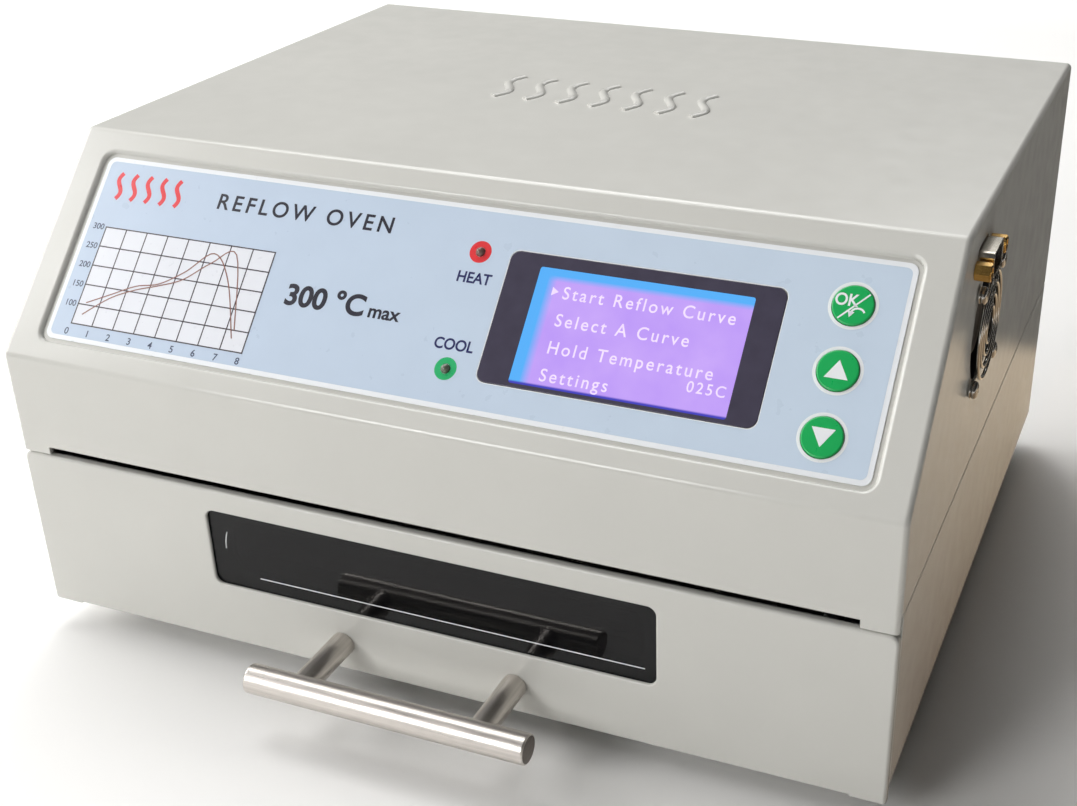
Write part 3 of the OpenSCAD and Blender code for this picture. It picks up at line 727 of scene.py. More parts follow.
def bent_corner(a, p, b, inset, r, steps=6):
    """Arc for the corner p of an outline that lies inset inside a, p and b."""
    u, v = (a - p).normalized(), (b - p).normalized()
    half = u.angle(v) / 2
    inward = (u + v).normalized()
    centre = p + inward * (inset + r) / sin(half)
    turns = [(pi - 2 * half) * (k / steps - 0.5) for k in range(steps + 1)]
    points = [centre - Matrix.Rotation(turn, 2) @ inward * r for turn in turns]
    if (points[0] - a).length > (points[-1] - a).length:
        points.reverse()
    return points


def cover_section(inset, low, back):
    """Side view of the cover, inset from its outer faces, with its two bends round."""
    outline = ((front_y, low), (front_y, brow_z), (bend_y, top_z), (back, top_z))
    start, brow, top, end = (Vector(point) for point in outline)
    return [
        Vector((front_y + inset, low)),
        *bent_corner(start, brow, top, inset, BEND_R - inset),
        *bent_corner(brow, top, end, inset, BEND_R - inset),
        Vector((back, top_z - inset)),
        Vector((back, low)),
    ]


def cover_body(shrink, edge, low, back):
    """Cover-shaped solid, shrunk inside the outer faces, with its side edges round."""
    rings = []
    turns = turns_up(5)
    half = half_w - shrink
    for side in (-1, 1):
        for a in turns if side < 0 else reversed(turns):
            x = side * (half - edge + edge * cos(a))
            section = cover_section(shrink + edge * (1 - sin(a)), low, back)
            rings.append([(x, p.x, p.y) for p in section])
    return loft(rings)


def d_outline(w, h, r=1.8 * mm, steps=5):
    """D shape of a nine-way connector, wider at its top, as a function of growth."""

    def outline(grow=0.0):
        lean = h * tan(radians(10))
        corners = [
            Vector((w / 2, h / 2)), Vector((-w / 2, h / 2)), Vector((-w / 2 + lean, -h / 2)),
            Vector((w / 2 - lean, -h / 2))
        ]
        points = []
        for i, p in enumerate(corners):
            a, b = corners[i - 1], corners[(i + 1) % 4]
            points += bent_corner(a, p, b, -grow, r + grow, steps)
        return [tuple(p) for p in points]

    return outline


overlay_v = face_spot("front_overlay")[1]
overlay_w = extent("front_overlay").x
overlay_h = (extent("front_overlay").z - 0.4 * mm * face_out.z) / face_up.z
lens_x, lens_v = face_spot("display_lens")
lens_w = extent("display_lens").x
lens_h = 43.6 * mm
RECESS = 1.5 * mm
film_top = -1.1 * mm
keys = {name: face_spot(name) for name in ("key_ok", "key_up", "key_down")}
lamps = {name: face_spot(name) for name in ("heat_lamp", "cool_lamp")}
key_r = extent("key_ok").x / 2 - 1 * mm
fan_at = middle("side_fan_frame")
fan_size = extent("side_fan_frame").z
port_at = middle("serial_shell")
front_low, front_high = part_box("drawer_front")
mouth_half = half_w - 11.7 * mm


def face_cuts(grow, corner, key_hole, lamp_hole, steps):
    """Cutters through the control face for its window, keys and lamps."""
    cuts = [hole(round_rect(lens_w + grow, lens_h + grow, corner), on_face(lens_x, lens_v))]
    for group, r, count in ((keys, key_hole, steps), (lamps, lamp_hole, steps // 2)):
        cuts += [hole(disc(r, count), on_face(x, v)) for x, v in group.values()]
    return cuts


def build_cover():
    cover = cover_body(0, EDGE_R, 60 * mm, rear_y + 10 * mm)
    hollow = cover_body(sheet, EDGE_R - sheet, 50 * mm, rear_y - sheet)
    under = -RECESS - sheet
    rim = round_rect(overlay_w + 10 * mm, overlay_h + 10 * mm, 5 * mm)
    dish = stack(rim, [(0, under), (0, under + RECESS + 0.2 * mm)], on_face(0, overlay_v))
    far = 400 * mm
    tab_low = front_high.z + 0.6 * mm
    below_tabs = block((-far, -far, -far), (far, far, tab_low))
    between_tabs = block((-mouth_half, -far, -far), (mouth_half, far, lip_z))
    behind_lip = block((-far, front_y + sheet, -far), (far, far, seam_z + 0.5 * mm))
    past_rear = block((-far, rear_y, -far), (far, far, far))
    bay = half_w - 12 * mm
    rear_bay = block((-bay, rear_y - 5 * mm, 0), (bay, far, top_z - 12 * mm))
    carve(cover, hollow)
    join(cover, dish)
    carve(cover, below_tabs, between_tabs, behind_lip, past_rear, rear_bay)

    gap = 1.5 * mm
    recess = stack(
        round_rect(overlay_w + 2 * gap, overlay_h + 2 * gap, 4 * mm),
        soft_low(-RECESS, 0.2 * mm, 2) + flared(0, 1.25 * mm) + [(1.25 * mm, 3 * mm)],
        on_face(0, overlay_v),
    )
    cuts = face_cuts(-3 * mm, 2 * mm, key_r + 0.25 * mm, 1.6 * mm, 48)
    cuts.append(hole(disc(fan_size / 2 - 1 * mm, 64), on_side(fan_at)))
    cuts.append(hole(d_outline(18.6 * mm, 10 * mm), on_side(port_at)))
    for node, r in (("side_fan_screws", 1.6), ("jack_nuts", 1.7)):
        cuts += [hole(disc(r * mm, 24), on_side(at)) for at in spots(node)]
    for low, high in islands("rear_screws"):
        at = (low + high) / 2
        if high.y > rear_y and (abs(at.x) > half_w - 10 * mm or at.z > top_z - 10 * mm):
            cuts.append(hole(disc(1.6 * mm, 24), on_rear(at)))
    carve(cover, recess, *cuts)
    present(cover, "cover_shell", "top_cover", bevel=FINE, angle=40)


def wave(x, y0, y1, swing, steps=24):
    """Points of a rising heat line, one full wave from y0 to y1."""
    turns = [k / steps for k in range(steps + 1)]
    return [(x + swing * sin(2 * pi * t), y0 + (y1 - y0) * t) for t in turns]


def build_cover_mark():
    """Raised heat lines pressed into the top, in the cover's own paint."""
    work = bmesh.new()
    for i in range(-3, 4):
        path = [(x, y, 0) for x, y in wave(i * 13 * mm, -14 * mm, 14 * mm, 2.8 * mm)]
        add_tube(work, path, 2.2 * mm, steps=24)
    add_look(mesh_object(work, on_top(0, 25 * mm, -1.4 * mm)), "cover_mark", "top_cover")


def build_base():
    pan = cad_copy("base_pan")
    weights = pan.data.attributes.new("bevel_weight_edge", "FLOAT", "EDGE")
    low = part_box("base_pan")[0].z
    near = 0.1 * mm
    for edge in pan.data.edges:
        a, b = (pan.data.vertices[i].co for i in edge.vertices)
        at_side = abs(abs(a.x) - half_w) < near and abs(a.x - b.x) < near
        outer = at_side and abs(a.z - low) < near and abs(b.z - low) < near
        weights.data[edge.index].value = float(outer)
    modify(pan, "BEVEL", limit_method="WEIGHT", width=1.5 * mm, segments=5)
    bake(pan)
    present(pan, "base_shell", "base_pan", bevel=FINE, angle=50)


# ---- drawer

glass_low, glass_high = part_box("drawer_window")
window_at = middle("drawer_window")
window_w = extent("drawer_window").x - 14 * mm
window_h = extent("drawer_window").z - 11 * mm
post_at = spots("handle_posts")
bar_at = middle("handle_bar")


def build_drawer_front():
    corner_drop = 0.7 * mm
    w = 2 * half_w
    h = front_high.z - front_low.z - corner_drop
    mid = (front_high.z + front_low.z + corner_drop) / 2
    levels = [(0, front_low.y - front_high.y), *soft_top(0, 1.1 * mm)]
    skin = stack(round_rect(w, h, 3 * mm), levels, on_front(0, mid))
    run = 12 * mm
    for x in (run / 2 - half_w, half_w - run / 2):
        at = on_front(x, front_low.z + run / 2)
        join(skin, stack(round_rect(run, run, 1.2 * mm), levels, at))
    hollow = stack(
        round_rect(w - 2 * sheet, h - 2 * sheet, 2 * mm),
        [(0, levels[0][1] - 1 * mm), *soft_top(-sheet, 0.6 * mm)],
        on_front(0, mid),
    )
    window = stack(
        round_rect(window_w, window_h, 3 * mm, 8),
        [(0, -10 * mm), *flared(0, 0.7 * mm), (0.7 * mm, 2 * mm)],
        on_front(window_at.x, window_at.z),
    )
    cuts = [hole(disc(2.2 * mm, 24), on_front(at.x, at.z)) for at in post_at]
    carve(skin, hollow, window, *cuts)
    present(skin, "drawer_face", "drawer_front", bevel=FINE, angle=50)


def build_window():
    """Dark glass whose near-black colour is painted shade for the unlit inside behind it, a black
    fired border, and white lines painted as highlights on the edges that catch the light.
    """
    w, h = extent("drawer_window").x, extent("drawer_window").z
    glass_front = on_front(window_at.x, window_at.z, front_y - glass_low.y)
    levels = [*soft_low(glass_low.y - glass_high.y, 0.3 * mm, 2), *soft_top(0, 0.3 * mm, 2)]
    pane = stack(round_rect(w, h, 2 * mm), levels, glass_front)
    present(pane, "window_pane", "drawer_window")
    border_place = on_front(window_at.x, window_at.z, front_y - glass_high.y - 0.3 * mm)
    outer = round_rect(w - 1 * mm, h - 1 * mm, 2 * mm, 8)
    border = stack(outer, [(0, 0), (0, 0.05 * mm)], border_place)
    opening = round_rect(window_w - 9.4 * mm, window_h - 7 * mm, 7.8 * mm, 8)
    carve(border, hole(opening, border_place))
    fired = ink("fired_border", rgb(30, 30, 32), 0.4)
    add_look(border, "window_border", "drawer_window", fired)
    low_line = 4.9 * mm - window_h / 2
    sight_w, sight_h = window_w - 11 * mm, window_h - 8.6 * mm
    bow = [(1.2 * mm * k * k / 64 - sight_w / 2, 0.04 * sight_h * k, 0) for k in range(9)]
    # White relief lines at the sight's low edge and upper left: painted highlights for edges
    # inside that catch the light
    work = bmesh.new()
    add_tube(work, [(-0.39 * window_w, low_line, 0), (0.475 * window_w, low_line, 0)], 0.2 * mm)
    add_tube(work, bow, 0.2 * mm)
    painted_highlight_ink = ink("painted_highlight_hem", rgb(236, 236, 238), 0.3)
    painted_highlight_lines = mesh_object(work, glass_front)
    add_look(painted_highlight_lines, "sight_hem_painted_highlight", "drawer_window", painted_highlight_ink, "stainless")


def build_handle():
    bar_r = extent("handle_bar").z / 2
    half = extent("handle_bar").x / 2
    edge = 0.6 * mm
    along = placed(bar_at, BACK, UP)
    rounded = [(bar_r + g, z) for g, z in soft_low(-half, edge, 3) + soft_top(half, edge, 3)]
    bar = lathe([(0, -half), (bar_r - edge, -half), *rounded, (0, half)], along, 64)
    steel = brushed("bar_steel", rgb(216, 210, 204), 0.34, ALONG_Z, 0.26, 0.008)
    present(bar, "handle_grip", "handle_bar", steel, angle=50)
    # Thin discs of darker steel on the bar's end faces: painted shade for the dark they reflect
    ends = []
    for side in (-1, 1):
        at = bar_at + RIGHT * side * (half - 0.02 * mm)
        levels = [(0, 0), (bar_r - edge, 0), (bar_r - edge, 0.05 * mm), (0, 0.05 * mm)]
        ends.append(lathe(levels, placed(at, BACK * side, UP)))
    painted_shade_steel = brushed("end_painted_shade", rgb(124, 116, 110), 0.42, ALONG_X, 0.3, 0.01)
    add_look(merged(ends, along), "handle_ends_painted_shade", "handle_bar", painted_shade_steel)
    post_r = extent("handle_posts").z / 2
    reach = front_y - bar_at.y
    posts = []
    for at in post_at:
        levels = [(0, 0), (post_r - 0.3 * mm, 0), (post_r, 0.3 * mm), (post_r, reach), (0, reach)]
        post = lathe(levels, on_front(at.x, at.z))
        carve(post, lathe([(0, -half), (bar_r, -half), (bar_r, half), (0, half)], along, 64))
        posts.append(post)
    legs = merged(posts, on_front(0, bar_at.z))
    steel = brushed("post_steel", rgb(210, 204, 198), 0.36, ALONG_Z, 0.24, 0.007)
    present(legs, "handle_legs", "handle_posts", steel)


# ---- control panel


def build_overlay():
    film = stack(
        round_rect(overlay_w, overlay_h, 3 * mm, 8),
        [(0, -RECESS), *soft_top(film_top, 0.12 * mm, 2)],
        on_face(0, overlay_v),
    )
    carve(film, *face_cuts(0.2 * mm, 3 * mm, key_r + 0.2 * mm, 1.6 * mm, 64))
    present(film, "overlay_film", "front_overlay")
    border = 1.6 * mm
    field = stack(
        round_rect(overlay_w - 2 * border, overlay_h - 2 * border, 2 * mm, 8),
        [(0, 0), (0, 0.03 * mm)],
        on_face(0, overlay_v, film_top),
    )
    carve(field, *face_cuts(0.8 * mm, 3.3 * mm, key_r + 1 * mm, 3.6 * mm, 64))
    add_look(field, "overlay_field", "front_overlay", printed_field())


def face_y(v):
    """Height on the overlay's own place of a point v down the face."""
    return overlay_v - v


def build_graph(art):
    """Temperature against time: a grid of cells, its scales and two reflow curves."""
    left, right = -133.3 * mm, -65.6 * mm
    top, low = face_y(35.4 * mm), face_y(70.8 * mm)
    columns, rows = 8, 5
    art.bar("cell", left, low, right, top)
    half = 0.21 * mm
    lift = art.thick
    for i in range(columns + 1):
        x = left + (right - left) * i / columns
        art.bar("line", x - half, low - half, x + half, top + half, lift)
        art.text("grey", str(i), 2.3 * mm, x - 0.8 * mm, low - 2.8 * mm, weight=0.012)
    for i in range(rows + 1):
        y = low + (top - low) * i / rows
        art.bar("line", left - half, y - half, right + half, y + half, lift)
        if i:
            scale = str(50 + 50 * i)
            art.text("grey", scale, 2.1 * mm, left - 0.9 * mm, y, "RIGHT", weight=0.012)
    first = (0.10, 0.30, 0.42, 0.50, 0.60, 0.80, 0.92, 0.20)
    second = (0.22, 0.34, 0.46, 0.52, 0.68, 0.90, 0.66, 0.12)
    for curve in (first, second):
        places = [left + (right - left) * (i + 0.35) / columns for i in range(columns)]
        knots = [Vector((x, low + (top - low) * h)) for x, h in zip(places, curve)]
        art.stroke("brown", smooth(knots), 0.4 * mm, lift * 2)


def smooth(knots, steps=6):
    """Catmull-Rom curve through the knots."""
    points = []
    padded = [knots[0], *knots, knots[-1]]
    for a, b, c, d in zip(padded, padded[1:], padded[2:], padded[3:]):
        cubic = -a + 3 * b - 3 * c + d
        square = 2 * a - 5 * b + 4 * c - d
        for t in (k / steps for k in range(steps)):
            points.append(b + ((c - a) * t + square * t * t + cubic * t**3) / 2)
    return [*points, knots[-1]]


def build_artwork():
    art = Print(on_face(0, overlay_v, film_top + 0.03 * mm))
    build_graph(art)
    for i in range(5):
        path = wave((6 * i - 134) * mm, face_y(24.8 * mm), face_y(15.2 * mm), 1.1 * mm)
        art.stroke("red", path, 1.6 * mm)
    title_y, rating_y = face_y(20.4 * mm), face_y(48.6 * mm)
    art.text("black", "REFLOW OVEN", 5.4 * mm, -60 * mm, title_y, weight=0.014, gap=1.34)
    art.text("black", "300 °C", 6.8 * mm, -57 * mm, rating_y, "LEFT", 1.04, 0.03)
    art.text("black", "max", 4.4 * mm, -26 * mm, rating_y - 1.1 * mm, "LEFT", 1.04, 0.022)
    labels = (("heat_lamp", "HEAT", 8.8, "red"), ("cool_lamp", "COOL", -8, "green"))
    for name, words, above, ring in labels:
        x, v = lamps[name]
        label_y = face_y(v + above * mm)
        art.text("navy", words, 3.5 * mm, x + 0.4 * mm, label_y, "CENTER", 0.94, 0.022)
        art.band(ring, disc(3.7 * mm)(), disc(1.65 * mm)(), x, face_y(v))
    for x, v in keys.values():
        outer, inner = disc(7.4 * mm, 64)(), disc(key_r + 0.22 * mm, 64)()
        art.band("white", outer, inner, x, face_y(v))
    art.present("overlay_print", "front_overlay")


def build_keys():
    low, top = -3.95 * mm, -0.4 * mm
    for name, (x, v) in keys.items():
        skirt = key_r + 1 * mm
        profile = [(0, low), (skirt, low), (skirt, low + 1.2 * mm), (key_r, low + 1.2 * mm)]
        profile += [(key_r + g, z) for g, z in soft_top(top, 0.5 * mm)]
        profile += [(key_r * 0.5, top + 0.02 * mm), (0, top + 0.02 * mm)]
        cap = lathe(profile, on_face(x, v), 64)
        present(cap, name + "_cap", name, angle=50)
        mark = Print(on_face(x, v, top + 0.02 * mm), 0.04 * mm)
        if name == "key_ok":
            mark.text("white", "OK", 3.6 * mm, -2.1 * mm, 1.4 * mm, stretch=0.9, weight=0.02)
            mark.stroke("white", mms((-3.6, -4.6), (4.4, 3.8)), 0.5 * mm)
            turns = [radians(200 - 20 * k) for k in range(10)]
            hook = [(1.9 + 2.0 * cos(a), -2.6 + 1.7 * sin(a)) for a in turns]
            mark.stroke("white", mms(*hook), 0.6 * mm)
            mark.shape("white", mms((-1.1, -1.9), (0.9, -2.2), (-0.4, -3.9)))
        elif name == "key_up":
            mark.shape("white", mms((-3.5, -2.6), (3.5, -2.6), (0, 3.1)))
        else:
            mark.shape("white", mms((-3.5, 2.6), (0, -3.1), (3.5, 2.6)))
        mark.present(name + "_mark", name)


def build_lamps():
    for name, (x, v) in lamps.items():
        dome = [(1.5 * cos(a), -1.1 + 1.5 * sin(a)) for a in turns_up()]
        profile = mms((0, -8), (2, -8), (2, -6.8), (1.5, -6.8), *dome)
        lens = lathe(profile, on_face(x, v), 32)
        present(lens, name + "_lens", name, angle=50)


def build_display():
    low, top = -RECESS, -0.9 * mm
    screen_w, screen_h = 69.4 * mm, 38.2 * mm
    screen_x, screen_v = 62.2 * mm, 46.0 * mm
    screen = round_rect(screen_w, screen_h, 0.8 * mm, 4)
    levels = [(0, low), *soft_top(top, 0.2 * mm, 3)]
    rim = stack(round_rect(lens_w, lens_h, 3.4 * mm, 8), levels, on_face(lens_x, lens_v))
    carve(rim, hole(screen, on_face(screen_x, screen_v)))
    present(rim, "display_border", "display_lens", angle=50)
    levels = [(-0.02 * mm, low + 0.1 * mm), (-0.02 * mm, top - 0.05 * mm)]
    glass = stack(screen, levels, on_face(screen_x, screen_v))
    light = lit_screen(screen_w, screen_h)
    present(glass, "display_screen", "display_lens", light, angle=50, stands_for=False)
    menu = Print(on_face(screen_x, screen_v, top - 0.05 * mm), 0.03 * mm)
    left = -screen_w / 2 + 9.4 * mm
    first = screen_h / 2 - 7.4 * mm
    pitch = 8.9 * mm
    style = {"align": "LEFT", "stretch": 0.94, "weight": 0.006, "gap": 1.28}
    entries = ("Start Reflow Curve", "Select A Curve", "Hold Temperature", "Settings")
    for i, words in enumerate(entries):
        menu.text("glow", words, 4.0 * mm, left, first - i * pitch, **style)
    menu.text("glow", "025C", 3.4 * mm, screen_w / 2 - 14 * mm, first - 2.55 * pitch, **style)
    menu.shape("glow", mms((-1.0, 1.4), (1.2, 0), (-1.0, -1.4)), left - 2.6 * mm, first)
    menu.present("display_menu", "display_lens", {"glow": screen_text()})


# ---- screws, feet, port and fans


def pan_head(r, length):
    """Pan-head screw pointing down from z = 0, with a cross recess."""
    head_r, head_h, point = 1.9 * r, 1.2 * r, 0.3 * r
    rise = [0.35 * head_h + 0.65 * head_h * sin(a) for a in turns_up(6)]
    crown = [(head_r * cos(a), z) for a, z in zip(turns_up(6), rise)]
    profile = [(0, -length), (r - point, -length), (r, -length + point), (r, 0), (head_r, 0)]
    screw = lathe(profile + crown, steps=32)
    for turn in (0, QUARTER):
        arm = round_rect(1.9 * r, 0.42 * r, 0.12 * r, 3)
        levels = [(-0.08 * r, 0.45 * head_h), (0.05 * r, 1.3 * head_h)]
        carve(screw, stack(arm, levels, Matrix.Rotation(turn, 4, "Z")))
    return screw


def build_screws():
    to_rear, to_right, down = (BACK, -RIGHT), (RIGHT, BACK), (-UP, RIGHT)
    groups = {
        "rear_screws": (to_rear, 1.5, 6),
        "rear_fan_screws": (to_rear, 2.0, 12),
        "side_fan_screws": (to_right, 1.5, 8),
        "foot_screws": (down, 2.0, 8),
        "drawer_screws": (to_rear, 1.5, 4),
        "handle_screws": (to_rear, 2.0, 11),
    }
    for node, ((out, right), r, length) in groups.items():
        places = []
        for i, (low, high) in enumerate(islands(node)):
            spot = (low + high) / 2
            seat = min(low.dot(out), high.dot(out)) + length * mm
            place = placed(spot + out * (seat - spot.dot(out)), right, out.cross(right))
            places.append(place @ Matrix.Rotation(0.6 * i, 4, "Z"))
        head = pan_head(r * mm, length * mm)
        screws = gathered([(head, place) for place in places])
        present(screws, node + "_heads", node, angle=30)


def build_feet():
    feet = []
    for low, high in islands("rubber_feet"):
        tall, wide = (high.z - low.z) / mm, (high.x - low.x) / mm / 2
        bore = [(2.1, tall), (2.1, tall - 3), (5, tall - 3), (5, 0.4)]
        tread = [(5.4, 0), (8.2, 0), (9, 0.8), (9.3, 3), (9.1, 3.6), (9.4, 4.2)]
        profile = mms(*bore, *tread, (wide - 0.1, tall - 1), (wide - 0.8, tall))
        spot = (low + high) / 2
        at = Matrix.Translation((spot.x, spot.y, low.z))
        feet.append(stack(disc(0), profile, at, loop=True))
    present(merged(feet), "feet", "rubber_feet", angle=50)


def build_port():
    place = on_side(port_at)
    back = -sheet - 0.9 * mm
    front = back + 6.8 * mm
    plate = round_rect(30.8 * mm, 12.5 * mm, 1.5 * mm)
    flange = stack(plate, [(0, back), *soft_top(back + 0.8 * mm, 0.2 * mm, 2)], place)
    levels = [(0, back), *soft_top(front, 0.18 * mm, 3)]
    join(flange, stack(d_outline(16.9 * mm, 8.3 * mm), levels, place))
    levels = [(0, -8 * mm), *flared(front, 0.15 * mm, 3), (0.15 * mm, 10 * mm)]
    cuts, nuts = [stack(d_outline(16.1 * mm, 7.5 * mm), levels, place)], []
    top = 5.1
    thread = [(0, 0.6), (1.25, 0.6)]
    for k in range(14):
        z = 0.6 + 0.3 * k
        thread += [(1.25, z + 0.08), (1.4, z + 0.2)]
    thread += [(1.25, top - 0.25), (1.6, top + 0.05), (1.6, top + 1), (0, top + 1)]
    for spot in spots("jack_nuts"):
        at = on_side(spot)
        cuts.append(hole(disc(1.45 * mm, 24), at))
        hexagon = stack(disc(2.885 * mm, 6), mms((0, 0.1), (0, top)), at)
        cone = mms((0, -1), (2.9, -1), (2.9, top - 0.45), (2.35, top), (0, top))
        carve(hexagon, lathe(cone, at), operation="INTERSECT")
        join(hexagon, lathe(mms((0, -4), (1.4, -4), (1.4, 1), (0, 1)), at))
        nuts.append(carve(hexagon, lathe(mms(*thread), at)))
    carve(flange, *cuts)
    present(flange, "port_shell", "serial_shell", bevel=0.08 * mm)
    present(merged(nuts, place), "port_nuts", "jack_nuts", angle=25)
    soften("serial_insert", 0.12 * mm, "port_insert")


def fan_place(node, out):
    """Place at the back of a fan, its local z along the airflow axis out."""
    spot = middle(node)
    right = BACK if out == RIGHT else -RIGHT
    return placed(spot + out * (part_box(node)[0].dot(out) - spot.dot(out)), right, UP)


def build_rotor(node, out, blades=7):
    """Fan rotor: a domed hub with twisted, tapering blades."""
    base = 2.0 * mm
    depth = extent(node).dot(out) - base
    size = extent(node).z / 2
    hub_r = (size + 2 * mm) * 0.44 + 2 * mm
    place = fan_place(node, out)
    front = base + depth
    dome = [*soft_low(base, 0.4 * mm, 2), *soft_top(front, 1.2 * mm)]
    profile = [(0, base), *[(hub_r + g, z) for g, z in dome], (hub_r * 0.62, front)]
    profile += [(hub_r * 0.58, front - 0.25 * mm), (0, front - 0.25 * mm)]
    hub = lathe(profile, place, 64)
    join(hub, lathe(mms((0, 0), (1.5, 0), (1.5, 3), (0, 3)), place, 24))
    work = bmesh.new()
    for i in range(blades):
        turn = Matrix.Rotation(2 * pi * i / blades, 3, "Z")
        rings = []
        for share in (k / 6 for k in range(7)):
            radius = hub_r - 0.6 * mm + (size - hub_r + 0.6 * mm) * share
            pitch = radians(46 - 16 * share)
            chord = (depth - 1.0 * mm) / sin(radians(46)) * (0.92 + 0.08 * share)
            rings.append([turn @ p for p in blade_section(radius, chord, pitch, depth, base)])
        add_rings(work, rings)
    join(hub, mesh_object(work, place))
    present(hub, node + "_blades", node, angle=40)


def blade_section(radius, chord, pitch, depth, base, steps=7):
    """Cambered blade section wrapped round the axis at that radius."""
    upper, lower = [], []
    for k in range(steps + 1):
        t = k / steps
        s = (t - 0.5) * chord
        thick = 0.5 * mm * sin(pi * min(max(t, 0.08), 0.92)) + 0.12 * mm
        camber = 0.10 * chord * sin(pi * t)
        for side, row in ((1, upper), (-1, lower)):
            n = camber + side * thick
            around = s * cos(pitch) - n * sin(pitch)
            z = base + depth / 2 + s * sin(pitch) + n * cos(pitch) - 0.04 * chord
            z = min(max(z, base + 0.2 * mm), base + depth - 0.2 * mm)
            angle = around / radius
            row.append(Vector((radius * cos(angle), radius * sin(angle), z)))
    return upper + lower[::-1]


def build_guard(node, out, wire, rings, size, pitch, screw, rise):
    """Finger guard: welded wire rings on four bars that end in eyes."""
    place = fan_place(node, out)
    r = wire / 2
    reach = pitch / sqrt(2)
    eye = screw + 0.2 * mm + r
    turn = reach - 1.9 * screw - r - 0.3 * mm
    bar_n = rise - 0.7 * wire
    bend = min(0.9 * mm, (bar_n - r) / 2)
    inner = 0.15 * size
    step = (0.44 * size - inner) / (rings - 1)
    parts = [
        tube(ring_path(inner + i * step, 72, rise), r, place, closed=True) for i in range(rings)
    ]
    arcs = [(bend * sin(a), bend * cos(a)) for a in turns_up(5)]
    path = [(inner - 0.2 * mm, bar_n), (turn - bend, bar_n)]
    path += [(turn - bend + x, bar_n - bend + n) for x, n in arcs[1:]]
    path += [(turn + bend - n, r + bend - x) for x, n in arcs]
    path = [(x, 0, n) for x, n in [*path, (reach - eye, r)]]
    for quarter in range(4):
        bar_place = place @ Matrix.Rotation((quarter + 0.5) * QUARTER, 4, "Z")
        parts.append(tube(path, r, bar_place))
        at = bar_place @ Matrix.Translation((reach, 0, 0))
        parts.append(tube(ring_path(eye, 32, r), r, at, closed=True))
    present(join(*parts), node + "_wires", node, angle=60)


def ring_path(radius, steps, z):
    return [(x, y, z) for x, y in disc(radius, steps)()]


# ---- everything

for build in (
    build_cover, build_cover_mark, build_base, build_drawer_front, build_window, build_handle,
    build_overlay, build_artwork, build_keys, build_lamps, build_display, build_screws,
    build_feet, build_port,
):
    build()
build_rotor("side_fan_rotor", RIGHT)
build_rotor("rear_fan_rotor", BACK)
side_guard = {"rings": 4, "size": 40 * mm, "pitch": 32 * mm, "screw": 1.5 * mm, "rise": 1.9 * mm}
rear_guard = {"rings": 6, "size": 80 * mm, "pitch": 71.5 * mm, "screw": 2.0 * mm, "rise": 5.1 * mm}
build_guard("side_fan_guard", RIGHT, 1.2 * mm, **side_guard)
build_guard("rear_fan_guard", BACK, 1.6 * mm, **rear_guard)
done = {name for piece in bpy.data.objects for name in piece.get("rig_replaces", [])}
for node in sorted(nodes):
    if node not in done:
        soften(node, 0.15 * mm)

# ---- studio


def build_floor():
    """White paper that brightens far from the oven, so that it meets the white background."""
    size = 7.0
    floor = stack(round_rect(size, size, size / 2, 24), [(0, -0.01), (0, 0)])
    floor.name = "floor"
    finish = Finish("floor_paper", rgb(250, 249, 247), 0.8)
    finish.tint(finish.noise(500), 0.01)
    finish.gloss(finish.noise(20), 0.05)
    finish.relief(finish.noise(0.4), 0.01)
    reach = finish.node("VectorMath", {"operation": "LENGTH"})
    finish.tree.links.new(finish.coords, reach.inputs[0])
    finish.drive("Emission Strength", finish.between(reach.outputs["Value"], 0, 0.9, 0.9, 2.4))
    floor.data.materials.append(finish.material)


def area_light(name, location, size, power, target=(0, 0, 0.08)):
    lamp = bpy.data.lights.new(name, "AREA")
    lamp.shape = "RECTANGLE"
    lamp.size, lamp.size_y = size
    lamp.energy = power
    light = added(name, lamp)
    light.location = location
    light.rotation_mode = "QUATERNION"
    light.rotation_quaternion = (Vector(target) - Vector(location)).to_track_quat("-Z", "Y")


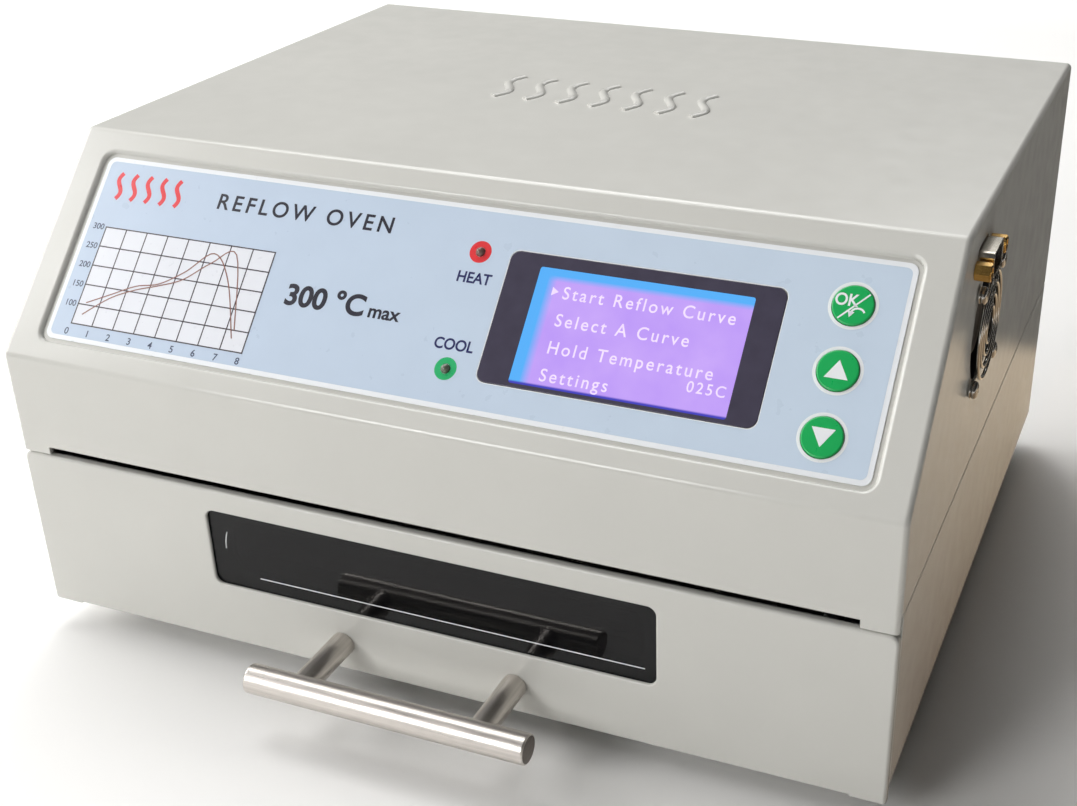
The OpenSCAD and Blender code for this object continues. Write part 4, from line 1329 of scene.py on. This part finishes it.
def build_card():
    """A warm reflector lying beside the oven, dark past its rear, for the satin side."""
    card = block((half_w + 2 * mm, -0.4, 0.001), (1.2, 2.0, 0.003))
    card.name = "side_reflector"
    finish = Finish("side_reflector", rgb(60, 54, 46), 0.9, **{"Emission Strength": 1.0})
    along = finish.node("SeparateXYZ", Vector=finish.coords).outputs["Y"]
    middle_y = 0.8
    near = finish.between(along, 0, 1, -0.06 - middle_y, 0.19 - middle_y)
    past = finish.between(along, 0, 1, 0.216 - middle_y, 0.236 - middle_y)
    warm = finish.blend(near, (0.22, 0.15, 0.09, 1), (0.74, 0.58, 0.40, 1))
    finish.drive("Emission Color", finish.blend(past, warm, (0.01, 0.009, 0.008, 1)))
    finish.relief(finish.noise(1), 0.1)
    card.data.materials.append(finish.material)
    card.visible_camera = card.visible_diffuse = card.visible_shadow = False


def build_lights():
    """Four soft boxes, a fill that fades to the right and a pale backdrop for the camera."""
    world = bpy.data.worlds.new("studio")
    world.use_nodes = True
    tree = world.node_tree
    coords = add_node(tree, "TexCoord")
    across = add_node(tree, "SeparateXYZ", Vector=coords.outputs["Generated"])
    ends = {"From_Min": -0.7, "From_Max": 0.5, "To_Min": 0.2, "To_Max": 0.02}
    faded = add_node(tree, "MapRange", Value=across.outputs["X"], **ends).outputs[0]
    warm, pale = (1.0, 0.985, 0.96, 1), (0.93, 0.93, 0.92, 1)
    fill = add_node(tree, "Background", Color=warm, Strength=faded)
    backdrop = add_node(tree, "Background", Color=pale)
    seen = add_node(tree, "LightPath").outputs["Is Camera Ray"]
    either = add_node(tree, "MixShader")
    for i, source in enumerate((seen, fill.outputs[0], backdrop.outputs[0])):
        feed(tree, source, either.inputs[i])
    feed(tree, either.outputs[0], tree.nodes["World Output"].inputs["Surface"])
    bpy.context.scene.world = world
    area_light("left", (-1.5, -0.3, 1.0), (1.1, 0.8), 17)
    area_light("top", (-0.6, 0.45, 1.6), (1.1, 1.0), 16)
    area_light("front", (-0.62, -1.35, 0.7), (0.6, 0.45), 9.2)
    area_light("back", (-0.2, 1.4, 1.3), (1.6, 0.9), 11, (0.3, 1.1, 0))


def build_camera():
    lens = bpy.data.cameras.new("camera")
    lens.lens = 51.08
    lens.sensor_width = 36
    lens.shift_x, lens.shift_y = -0.101, 0.017
    lens.clip_start, lens.clip_end = 0.01, 50
    camera = added("camera", lens)
    azimuth, elevation, roll = 21.63, 27.66, -0.36
    matrix = Matrix.Translation((0.2193, -0.4870, 0.3259))
    for angle, axis in ((azimuth, "Z"), (90 - elevation, "X"), (roll, "Z")):
        matrix = matrix @ Matrix.Rotation(radians(angle), 4, axis)
    camera.matrix_world = matrix
    bpy.context.scene.camera = camera


build_floor()
build_card()
build_lights()
build_camera()
bpy.context.scene.view_settings.view_transform = "Standard"
